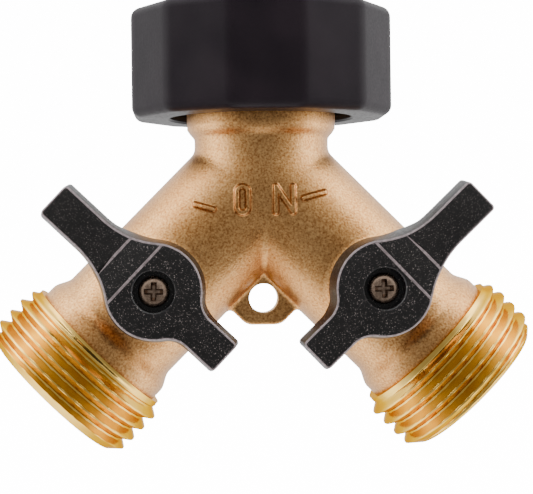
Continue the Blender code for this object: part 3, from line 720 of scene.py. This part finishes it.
def outlet_radius(height, angles):
    tooth = ramp(height, SHOULDER + 0.3, SHOULDER + 1.6)
    radius = CREST - DEPTH + DEPTH * tooth * thread_wave(height, angles, CREST_STATION)
    return np.minimum(radius, END_RADIUS + (OUTLET_END - height) * END_SLOPE)


def make_outlet(side):
    steps = 176
    outside = wall(np.linspace(SHOULDER, OUTLET_END, 130), outlet_radius, steps)
    inside = [(POCKET + 0.35, OUTLET_END), (POCKET, OUTLET_END - 0.5), (POCKET, SHOULDER)]
    rings = outside + turned_rings(inside, steps)
    outlet = skin(side + "_outlet_thread", rings, turned_brass, branch_place(side))
    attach(outlet, "valve_body")
    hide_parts("y_body")
    tell(outlet)


for side in SIDES:
    make_outlet(side)

# %% [markdown]
# ## The stops
# A small post on each boss stops the lever at both ends of its swing. It is hidden under the lever, and runs
# in the lever's curved slot. On the real part it is cast on, but here it is a turned piece of its own,
# because it is finer than the squares of the casting's skin can follow.

# %% Stop posts
STOP_CIRCLE = 5.2


def make_stop(side):
    angle = math.pi + SIDES[side] * (lever_swing(side) / 2 - LEVER_SET)
    low, high = BOSS_HEIGHT - 1, BOSS_HEIGHT + 1.1
    profile = [(0, low), (0.7, low), (0.7, high - 0.2), (0.5, high), (0, high)]
    spot = Matrix.Translation(STOP_CIRCLE * MM * Vector((math.cos(angle), math.sin(angle), 0)))
    place = placed(valve_centre(side), across(side), FRONT) @ spot
    stop = turned(side + "_stop_post", profile, cast_brass, place, 24)
    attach(stop, "valve_body")
    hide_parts("y_body")
    tell(stop)


for side in SIDES:
    make_stop(side)

# %% [markdown]
# ## The grip
# The grip is a twelve-sided sleeve, moulded round the brass nut. Its corners have a radius of some
# millimetres and its rims are rolled over, so each ring is a rounded dodecagon of a slightly different size.
# All rings have the same number of points, and so the round mouths and the six-sided seat for the nut join
# on with no seams.


# %% Rounded polygons in polar form
def polygon_radius(angles, sides, flat, rounding):
    """Radius of a polygon with flats at distance flat and rounded corners, one flat facing angle 0."""
    sector = 2 * math.pi / sides
    turn = (angles + sector / 2) % sector - sector / 2
    side = flat / np.cos(turn)
    centre = (flat - rounding) / math.cos(sector / 2)
    off = sector / 2 - np.abs(turn)
    reach = np.sqrt(np.maximum(rounding**2 - (centre * np.sin(off)) ** 2, 0))
    corner = centre * np.cos(off) + reach
    tangent = math.atan2((flat - rounding) * math.tan(sector / 2), flat)
    return np.where(np.abs(turn) > tangent, corner, side)


# %% Make the grip
grip_low, grip_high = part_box("nut_grip")
nut_low, nut_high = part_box("inlet_nut")
TOP, BOTTOM = grip_high.z / MM, grip_low.z / MM
GRIP_FLAT = 20.0 * math.cos(math.pi / 12)
GRIP_CORNER = 3.2
RIM = 1.5
HEX_FLAT = 17.5 * math.cos(math.pi / 6)
HEX_CORNER = 0.4
MOUTH = 13.75
FIT = 0.3


def make_grip():
    angles = round_angles(288) + math.pi / 2
    section = arc((RIM, BOTTOM + RIM), RIM, -math.pi / 2, -math.pi, 8)
    section += arc((RIM, TOP - RIM), RIM, math.pi, math.pi / 2, 8)
    outer = []
    for inset, height in section:
        radius = polygon_radius(angles, 12, GRIP_FLAT - inset, GRIP_CORNER - inset)
        outer.append(polar_ring(radius, height, angles))
    seat_low, seat_high = nut_low.z / MM - FIT, nut_high.z / MM + FIT
    seat = polygon_radius(angles + math.pi / 6, 6, HEX_FLAT + FIT, HEX_CORNER)
    inside = [(MOUTH + 0.3, TOP), (MOUTH, TOP - 0.3), (MOUTH, seat_high), (seat, seat_high)]
    inside += [(seat, seat_low), (MOUTH, seat_low), (MOUTH, BOTTOM + 0.3), (MOUTH + 0.3, BOTTOM)]
    inner = [polar_ring(radius, height, angles) for radius, height in inside]
    grip = skin("moulded_grip", outer + inner, nylon)
    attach(grip, "swivel_nut")
    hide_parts("nut_grip")
    tell(grip)


make_grip()

# %% [markdown]
# ## The inlet nut
# Inside the grip sits a brass hexagon with the female thread that takes the tap. Below the thread it opens
# into a room for the washer, and below that a groove holds the split ring that keeps the nut on the body. It
# could be cut from a hexagon with Booleans, but all its rings can have the same number of points, so one skin
# runs up the hexagon and back down the thread.

# %% Make the threaded nut
FEMALE_ROOT = 13.6
THREAD_TOP = nut_high.z / MM
THREAD_FLOOR = 0.8
FEMALE_CREST_STATION = 0.6
WASHER_ROOM, WASHER_FLOOR = 13.6, -3.2
RING_ROOM = 12.6
TAIL_BORE = 11.5


def nut_thread_radius(height, angles):
    tooth = ramp(height, THREAD_FLOOR, THREAD_FLOOR + 0.8)
    radius = FEMALE_ROOT - DEPTH * tooth * (1 - thread_wave(height, angles, FEMALE_CREST_STATION))
    return np.maximum(radius, FEMALE_ROOT - DEPTH + 1.0 - (THREAD_TOP - height))


def make_nut():
    steps = 180
    angles = round_angles(steps)
    low, high = nut_low.z / MM, THREAD_TOP
    rings = []
    for inset, height in [(0.5, low), (0, low + 0.5), (0, high - 0.5), (0.5, high)]:
        radius = polygon_radius(angles + math.pi / 6, 6, HEX_FLAT - inset, HEX_CORNER)
        rings.append(polar_ring(radius, height, angles))
    rings += wall(np.linspace(high, THREAD_FLOOR, 84), nut_thread_radius, steps)
    rooms = [(WASHER_ROOM, WASHER_FLOOR), (TAIL_BORE, WASHER_FLOOR)]
    rooms += [(TAIL_BORE, groove_high), (RING_ROOM, groove_high), (RING_ROOM, groove_low)]
    rooms += [(TAIL_BORE, groove_low), (TAIL_BORE, low + 0.3), (TAIL_BORE + 0.3, low)]
    rings += turned_rings(rooms, steps)
    nut = skin("threaded_nut", rings, turned_brass)
    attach(nut, "swivel_nut")
    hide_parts("inlet_nut")
    tell(nut)


make_nut()

# %% [markdown]
# ## The inlet washer
# The washer is moulded rubber with four ears. Its ring passes down through the thread, and the ears are
# bent past it and then hold the washer in its room.

# %% Make the washer
washer_low, washer_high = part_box("inlet_washer")
EAR = 1.4
EAR_MIDDLE = 13.4 - EAR
WASHER_RADIUS = 12.15
WASHER_BORE = 8.8
ROUND = 0.35


def make_washer():
    steps = 240
    angles = round_angles(steps)
    off = np.abs((angles % (math.pi / 2)) - math.pi / 4)
    reach = np.sqrt(np.maximum(EAR**2 - (EAR_MIDDLE * np.sin(off)) ** 2, 0))
    ears = np.where(EAR_MIDDLE * np.sin(off) < EAR, EAR_MIDDLE * np.cos(off) + reach, 0)
    outer = -smooth_min(-ears, np.full(steps, -WASHER_RADIUS), 0.5)
    low, high = washer_low.z / MM + ROUND, washer_high.z / MM - ROUND
    outside = arc((ROUND, low), ROUND, -math.pi / 2, -math.pi, 4)
    outside += arc((ROUND, high), ROUND, math.pi, math.pi / 2, 4)
    inside = arc((ROUND, high), ROUND, math.pi / 2, math.pi, 4)
    inside += arc((ROUND, low), ROUND, math.pi, 1.5 * math.pi, 4)
    rings = [polar_ring(outer - inset, height, angles) for inset, height in outside]
    rings += [polar_ring(WASHER_BORE + outset, height, angles) for outset, height in inside]
    washer = skin("eared_washer", rings, rubber)
    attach(washer, "swivel_nut")
    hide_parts("inlet_washer")
    tell(washer)


make_washer()

# %% [markdown]
# ## The levers
# Each lever is one die casting: a round hub, a short arm, and a long arm that stands higher, with a ramp
# between. Its sides lean in a little, so that it leaves the die. It could be cut from a bar, but it is really
# drawn by its outline: the hub's circle, tangent arcs that run out into the arms, and rounded tips. The
# outline is drawn once at the bottom and once, drawn in by the draft, at the top.

# %% Sizes of a lever, in millimetres
HUB = 7.35
LONG_REACH, LONG_HALF, LONG_FLARE = 19.15, 3.4, 12.0
SHORT_REACH, SHORT_HALF, SHORT_FLARE = 13.9, 3.1, 8.4
DRAFT = 0.75
TIP = 0.6
LOW = LEVER_BOTTOM / MM
ARM_TOP = LEVER_TOP / MM
HUB_TOP = ARM_TOP - 1.8
RAMP_START, RAMP_END = 3.6, 7.3
LONG_THICKNESS = 4.8
SHORT_LIFT = 1.2
HEAD_SEAT = LOW + 3.3
HEAD_ROOM = 2.95
SQUARE, SQUARE_TOP = 4.5, LOW + 2.3
SCREW_HOLE = 1.55
STOP_ROOM, STOP_SLOT_TOP = 1.0, LOW + 1.1
HIGHLIGHT_STRIP_WIDTH = 0.38
print("each lever is", round(ARM_TOP - LOW, 2), "mm high and", LONG_REACH + SHORT_REACH, "mm long")


# %% Outline and cuts
def arm_edge(hub, half_width, reach, flare_start):
    """One edge of an arm along +X, from the hub's circle out to its tip."""
    flare = (flare_start**2 + half_width**2 - hub**2) / (2 * (hub - half_width))
    centre = (flare_start, half_width + flare)
    lean = math.atan2(centre[1], centre[0])
    curve = arc(centre, flare, math.pi + lean, 1.5 * math.pi, 16)
    return curve + arc((reach - TIP, half_width - TIP), TIP, math.pi / 2, 0, 4)


def lever_outline(inset):
    hub = HUB - inset
    long_edge = arm_edge(hub, LONG_HALF - inset, LONG_REACH - inset / 2, LONG_FLARE)
    short_edge = arm_edge(hub, SHORT_HALF - inset, SHORT_REACH - inset / 2, SHORT_FLARE)
    start = math.atan2(short_edge[0][1], -short_edge[0][0])
    end = math.atan2(long_edge[0][1], long_edge[0][0])
    upper = [(-x, y) for x, y in reversed(short_edge)] + arc((0, 0), hub, start, end, 16)[1:-1] + long_edge
    return upper + [(x, -y) for x, y in reversed(upper)]


def side_cutter(outline):
    """A wide prism across the lever, from points seen from its side."""
    cutter = prism("cutter", outline, -2 * HUB, 2 * HUB, black_paint)
    cutter.data.transform(Matrix.Rotation(math.pi / 2, 4, "X"))
    return cutter


def square(width):
    half = width / 2
    return [(-half, -half), (half, -half), (half, half), (-half, half)]


def stop_slot(swing):
    reach = swing / 2 + math.asin(STOP_ROOM / STOP_CIRCLE)
    outline = arc((0, 0), STOP_CIRCLE + STOP_ROOM, math.pi - reach, math.pi + reach, 24)
    return outline + arc((0, 0), STOP_CIRCLE - STOP_ROOM, math.pi + reach, math.pi - reach, 24)


def paint_top_edge_highlights(lever):
    """Rounds the edges and creases of the top, and gives the new strips a pale paint that stands in for their
    highlights.
    """
    lever.data.materials.append(edge_highlight_paint)
    strips = len(lever.data.materials) - 1
    bm = bmesh.new()
    bm.from_mesh(lever.data)
    edges = []
    for edge in bm.edges:
        on_top = min(end.co.z for end in edge.verts) > (HUB_TOP - 0.05) * MM
        if on_top and edge.calc_face_angle(0) > math.radians(20):
            edges.append(edge)
    bmesh.ops.bevel(
        bm,
        geom=edges,
        offset=HIGHLIGHT_STRIP_WIDTH * MM,
        offset_type="WIDTH",
        segments=3,
        profile=0.5,
        affect="EDGES",
        clamp_overlap=False,
        material=strips,
    )
    bm.to_mesh(lever.data)
    bm.free()


# %% Make the levers
def make_lever(side):
    lever = prism(side + "_handle", lever_outline(0), LOW, ARM_TOP, black_paint, None, lever_outline(DRAFT))
    under, lift = HUB + 0.3, ARM_TOP - LONG_THICKNESS - LOW
    over_hub = [(-30, HUB_TOP), (RAMP_START, HUB_TOP), (RAMP_END, ARM_TOP)]
    over_hub += [(RAMP_END + 3, ARM_TOP + 3), (-30, ARM_TOP + 3)]
    under_long = [(under - lift, LOW - lift), (under + lift, LOW + lift), (40, LOW + lift), (40, LOW - 5)]
    under_short = [(SHORT_LIFT - under, LOW - SHORT_LIFT), (-under - SHORT_LIFT, LOW + SHORT_LIFT)]
    under_short += [(-30, LOW + SHORT_LIFT), (-30, LOW - SHORT_LIFT)]
    for outline in (over_hub, under_long, under_short):
        cut(lever, side_cutter(outline))
    # the bevel strips along the top take the painted edge highlight
    paint_top_edge_highlights(lever)
    cut(lever, prism("cutter", square(SQUARE), LOW - 1, SQUARE_TOP, black_paint))
    cut(lever, prism("cutter", circle(SCREW_HOLE), LOW, ARM_TOP, black_paint))
    pocket = [(0, HEAD_SEAT), (HEAD_ROOM, HEAD_SEAT), (HEAD_ROOM, HUB_TOP - 0.15)]
    pocket += [(HEAD_ROOM + 0.65, HUB_TOP + 0.5), (HEAD_ROOM + 0.65, ARM_TOP + 1), (0, ARM_TOP + 1)]
    cut(lever, turned("cutter", pocket, black_paint, steps=64))
    cut(lever, prism("cutter", stop_slot(lever_swing(side)), LOW - 1, STOP_SLOT_TOP, black_paint))
    lever.matrix_world = valve_place(side)
    shade(lever.data, 40)
    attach(lever, side + "_lever")
    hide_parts(side + "_lever")
    tell(lever)


for side in SIDES:
    make_lever(side)

# %% [markdown]
# ## The lever screws
# A pan-head screw with a cross recess holds each lever on its stem. The recess is punched, and is a cross
# that narrows downward, so its cutter is a small prism with a smaller floor. The two screws were driven by
# hand, so their crosses don't stand quite alike.

# %% Make the screws
HEAD_LOW = HEAD_SEAT + 0.2
HEAD_HEIGHT = 1.4
HEAD_RADIUS = 2.2
DOME = 0.9
CROWN = HEAD_LOW + HEAD_HEIGHT
SHANK, SHANK_LENGTH = 1.25, 4.3
CROSS_TURN, CROSS_SPREAD = math.radians(-45), math.radians(3)


def cross_outline(span, bar):
    outline = []
    for quarter in range(4):
        turn = Matrix.Rotation(quarter * math.pi / 2, 2)
        corners = ((span / 2, -bar / 2), (span / 2, bar / 2), (bar / 2, bar / 2))
        outline += [tuple(turn @ Vector(corner)) for corner in corners]
    return outline


def make_screw(side):
    turns = np.linspace(0, math.pi / 2, 9)
    dome = [(HEAD_RADIUS * math.cos(turn), CROWN - DOME + DOME * math.sin(turn)) for turn in turns]
    end = HEAD_LOW - SHANK_LENGTH
    profile = [(0, end), (SHANK - 0.35, end), (SHANK, end + 0.4), (SHANK, HEAD_LOW), (HEAD_RADIUS, HEAD_LOW)]
    screw = turned(side + "_cross_screw", profile + dome, plated_steel, steps=64)
    floor_outline, mouth_outline = cross_outline(1.7, 0.35), cross_outline(3.5, 1.15)
    cross = prism("cutter", floor_outline, CROWN - 1.0, CROWN + 0.5, plated_steel, None, mouth_outline)
    cut(screw, cross)
    screw.matrix_world = valve_place(side) @ Matrix.Rotation(CROSS_TURN + CROSS_SPREAD * SIDES[side], 4, "Z")
    shade(screw.data, 35)
    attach(screw, side + "_lever")
    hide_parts(side + "_lever_screw")
    tell(screw)


for side in SIDES:
    make_screw(side)

# %% [markdown]
# ## The balls
# The ball is a sphere with a bore through it and a slot for the stem's tang. It shows through the outlet, so
# it starts as a sphere of 64 segments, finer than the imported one. It could be turned like the other parts,
# but Blender has a ready sphere.

# %% Balls
BALL_RADIUS = 7.5
TANG_HALF_WIDTH = 1.4
TANG_FLOOR = 6.0


def make_ball(side):
    mesh = bpy.data.meshes.new("ball")
    bm = bmesh.new()
    bmesh.ops.create_uvsphere(bm, u_segments=64, v_segments=48, radius=BALL_RADIUS * MM)
    bm.to_mesh(mesh)
    bm.free()
    ball = add_object(side + "_chromed_ball", mesh, chrome)
    port = prism("cutter", circle(PORT, 64), -10, 10, chrome)
    port.data.transform(Matrix.Rotation(math.pi / 2, 4, "Y"))
    cut(ball, port)
    slot = [(-TANG_HALF_WIDTH, -9), (TANG_HALF_WIDTH, -9), (TANG_HALF_WIDTH, 9), (-TANG_HALF_WIDTH, 9)]
    cut(ball, prism("cutter", slot, TANG_FLOOR, 10, chrome))
    ball.matrix_world = valve_place(side)
    shade(ball.data, 35)
    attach(ball, side + "_ball")
    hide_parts(side + "_ball")
    tell(ball)


for side in SIDES:
    make_ball(side)

# %% [markdown]
# ## Seats and retainers
# Two PTFE seats hold each ball, and a screwed ring with a hole for a hexagon key presses them together. All
# are turned parts, and the seat's face is an arc that keeps a running gap from the ball.

# %% Seats and retainers
RUNNING_GAP = 0.2
SEAT_EDGE = 7.0
SEAT_RADIUS = 7.8
RETAINER_HEIGHT = 3.4
KEY_EDGE = 0.12


def seat_profile():
    """A ring whose face follows the ball, a running gap away."""
    reach = BALL_RADIUS + RUNNING_GAP
    turns = np.linspace(math.asin(PORT / reach), math.asin(SEAT_EDGE / reach), 9)
    face = [(reach * math.sin(turn), reach * math.cos(turn)) for turn in turns]
    back = BALL_RADIUS + 0.7
    return [(PORT, back), *face, (SEAT_RADIUS, face[-1][1]), (SEAT_RADIUS, back)]


def fitted(name, profile, finish, place, node, body, steps=96):
    made = turned(name, profile, finish, place, steps)
    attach(made, body)
    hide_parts(node)
    tell(made)


def round_edges(target, width):
    bevel = target.modifiers.new("edges", "BEVEL")
    bevel.width = width
    bevel.segments = 2
    bevel.limit_method = "ANGLE"
    bevel.angle_limit = math.radians(35)
    bevel.harden_normals = True
    settle_modifiers(target)


def make_seats(side):
    centre = branch_place(side) @ Matrix.Translation((0, 0, VALVE_STATION))
    flip = Matrix.Rotation(math.pi, 4, "X")
    for end, place in (("downstream", centre), ("upstream", centre @ flip)):
        node = f"{side}_seat_{end}"
        fitted(node + "_ring", seat_profile(), ptfe, place, node, "valve_body")
    low = BALL_RADIUS + 1.0
    high = low + RETAINER_HEIGHT
    disc = [(0, low), (SEAT_RADIUS - 0.3, low), (SEAT_RADIUS, low + 0.3)]
    disc += [(SEAT_RADIUS, high - 0.3), (SEAT_RADIUS - 0.3, high), (0, high)]
    retainer = turned(side + "_key_ring", disc, turned_brass)
    key = circle(PORT / math.cos(math.pi / 6), 6)
    cut(retainer, prism("cutter", key, low - 1, high + 1.6, turned_brass))
    round_edges(retainer, KEY_EDGE * MM)
    retainer.matrix_world = centre
    shade(retainer.data, 35)
    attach(retainer, "valve_body")
    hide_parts(side + "_seat_retainer")
    tell(retainer)


for side in SIDES:
    make_seats(side)

# %% [markdown]
# ## Stem seals
# Two O-rings in grooves keep the water in where the stem comes out, and a PTFE washer lies under the stem's
# flange. An O-ring could be Blender's torus, but a turned circle is the same and needs no other helper.

# %% Stem seals
ORING_MIDDLE, ORING_SECTION = 2.7, 0.4
ORING_LEVELS = {"lower": 10.9, "upper": 12.5}


def make_seals(side):
    place = valve_place(side)
    body = side + "_lever"
    for level, middle in ORING_LEVELS.items():
        section = arc((ORING_MIDDLE, middle), ORING_SECTION, 0, 2 * math.pi, 16)[:-1]
        node = f"{side}_stem_oring_{level}"
        fitted(node + "_ring", section, rubber, place, node, body, 64)
    low, high = 9.1, 9.6
    washer = [(3.2, low), (4.2, low), (4.2, high), (3.2, high)]
    fitted(side + "_thrust_ring", washer, ptfe, place, side + "_thrust_washer", body, 64)


for side in SIDES:
    make_seals(side)

# %% [markdown]
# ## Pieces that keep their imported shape
# The stems and the split ring already have their right shape. They hardly show, so drawing them again would
# gain nothing, and they only take their finishes.

# %% Stems and retaining ring
def refinish(node, finish):
    mesh = frame["nodes"][node].data
    mesh.materials.clear()
    mesh.materials.append(finish)
    print(node, "takes the finish", finish.name)


refinish("nut_retaining_ring", plated_steel)
for side in SIDES:
    refinish(side + "_stem", turned_brass)

# %% [markdown]
# ## Floor, backdrop and light
# The splitter hangs over a pale floor in front of white. A white world would be the plain way, but then the
# metal would reflect white all round. So the white is a glowing shell round the scene. The shell and the
# floor are left out of reflections, and the metal sees the world's light instead.

# %% Stage
def plain_material(name, colour, strength):
    material = bpy.data.materials.new(name)
    material.use_nodes = True
    shader = material.node_tree.nodes["Principled BSDF"]
    shader.inputs["Base Color"].default_value = linear(colour)
    shader.inputs["Roughness"].default_value = 0.9
    shader.inputs["Emission Color"].default_value = linear("#FFFFFF")
    shader.inputs["Emission Strength"].default_value = strength
    return material


shell_mesh = bpy.data.meshes.new("backdrop")
bm = bmesh.new()
bmesh.ops.create_uvsphere(bm, u_segments=48, v_segments=24, radius=2.0)
bmesh.ops.reverse_faces(bm, faces=bm.faces)
bm.to_mesh(shell_mesh)
bm.free()
shell_mesh.shade_smooth()
backdrop = add_object("backdrop", shell_mesh, plain_material("white_paper", "#FFFFFF", 14.0))
backdrop.visible_glossy = False
backdrop.visible_diffuse = False
backdrop.visible_shadow = False
FLOOR_TOP, FLOOR_RADIUS = -120, 280
slab = [(0, FLOOR_TOP - 5), (FLOOR_RADIUS, FLOOR_TOP - 5), (FLOOR_RADIUS, FLOOR_TOP), (0, FLOOR_TOP)]
floor = turned("floor", slab, plain_material("pale_floor", "#E8E6E2", 0.6))
floor.visible_glossy = False
print("the floor lies", -FLOOR_TOP, "mm below the inlet")

# %% [markdown]
# ## The room's light
# Blasted and turned metal shows mostly what it reflects. The world is dark behind the camera, bright at both
# sides and middling behind the object, so the dark front gives each pipe its brown middle and the bright
# sides give its pale edges. The darkest spot lies a little below the level of the eye, so the upper side of
# each pipe is paler than the lower. Area lights could do the same, but each has an edge that would show.

# %% Light by direction
world = bpy.data.worlds.new("studio")
bpy.context.scene.world = world
world.use_nodes = True
sky = world.node_tree
background = sky.nodes["Background"]
direction = add_node(sky, "ShaderNodeTexCoord").outputs["Generated"]
parts = add_node(sky, "ShaderNodeSeparateXYZ", None, {"Vector": direction}).outputs
DARK_POLE_DROP = math.radians(7)
away = (0, math.cos(DARK_POLE_DROP), math.sin(DARK_POLE_DROP))
facing = add_node(sky, "ShaderNodeVectorMath", {1: away}, {0: direction}, operation="DOT_PRODUCT")
whole = {"From Min": -1.0, "From Max": 1.0}
depth = add_node(sky, "ShaderNodeMapRange", whole, {"Value": facing.outputs["Value"]})
levels = add_node(sky, "ShaderNodeValToRGB", None, {"Fac": depth.outputs["Result"]})
levels.color_ramp.interpolation = "EASE"
LIGHT_BY_DEPTH = ((0.0, 0.09), (0.1, 0.12), (0.25, 0.32), (0.45, 1.0), (0.6, 0.85), (0.75, 0.5), (1.0, 0.35))
stops = levels.color_ramp.elements
while len(stops) < len(LIGHT_BY_DEPTH):
    stops.new(0.5)
for stop, (spot, level) in zip(stops, LIGHT_BY_DEPTH):
    stop.position = spot
    stop.color = (level, level, level, 1)
lighter_above = {**whole, "To Min": 0.75, "To Max": 1.25}
height = add_node(sky, "ShaderNodeMapRange", lighter_above, {"Value": parts["Z"]})
links = {0: height.outputs["Result"], 1: levels.outputs["Color"]}
product = add_node(sky, "ShaderNodeMath", None, links, operation="MULTIPLY")
sky.links.new(product.outputs["Value"], background.inputs["Color"])
background.inputs["Strength"].default_value = 4.8
print("the darkest spot lies", round(math.degrees(DARK_POLE_DROP)), "degrees below the level of the eye")

# %% [markdown]
# ## Softboxes
# A studio has a large soft lamp on each side. Here two weak rectangles only add a sheen to the outer flanks,
# because the world already carries most of the light.


# %% Softboxes
def add_softbox(side):
    light = bpy.data.lights.new(side + "_softbox", "AREA")
    light.shape = "RECTANGLE"
    light.size, light.size_y = 0.25, 0.5
    light.energy = 0.4
    made = bpy.data.objects.new(side + "_softbox", light)
    bpy.context.scene.collection.objects.link(made)
    made.location = (0.5 * SIDES[side], -0.12, 0.15)
    made.rotation_euler = (FORK - made.location).to_track_quat("-Z", "Y").to_euler()
    print(made.name, "gives", round(light.energy, 2), "W")


for side in SIDES:
    add_softbox(side)

# %% [markdown]
# ## Camera
# The camera stands close, 22.5 cm away, so the levers in front look larger than the pipes behind them. It
# stands a little to the left, looks level at the middle of the splitter, and is rolled by under a degree.

# %% Camera
camera_data = bpy.data.cameras.new("camera")
camera_data.lens = 100.2
camera_data.sensor_width = 36
camera = bpy.data.objects.new("camera", camera_data)
bpy.context.scene.collection.objects.link(camera)
bpy.context.scene.camera = camera
CAMERA_DISTANCE = 0.225
CAMERA_YAW = math.radians(3.0)
CAMERA_ROLL = math.radians(-0.75)
looking = Vector((math.sin(CAMERA_YAW), math.cos(CAMERA_YAW), 0))
middle = Vector((0.61 * MM, 0, -27.3 * MM))
camera.matrix_world = (
    Matrix.Translation(middle - CAMERA_DISTANCE * looking)
    @ Matrix.Rotation(-CAMERA_YAW, 4, "Z")
    @ Matrix.Rotation(math.pi / 2, 4, "X")
    @ Matrix.Rotation(CAMERA_ROLL, 4, "Z")
)
print("the camera stands at", [round(part / MM) for part in camera.matrix_world.translation], "mm")
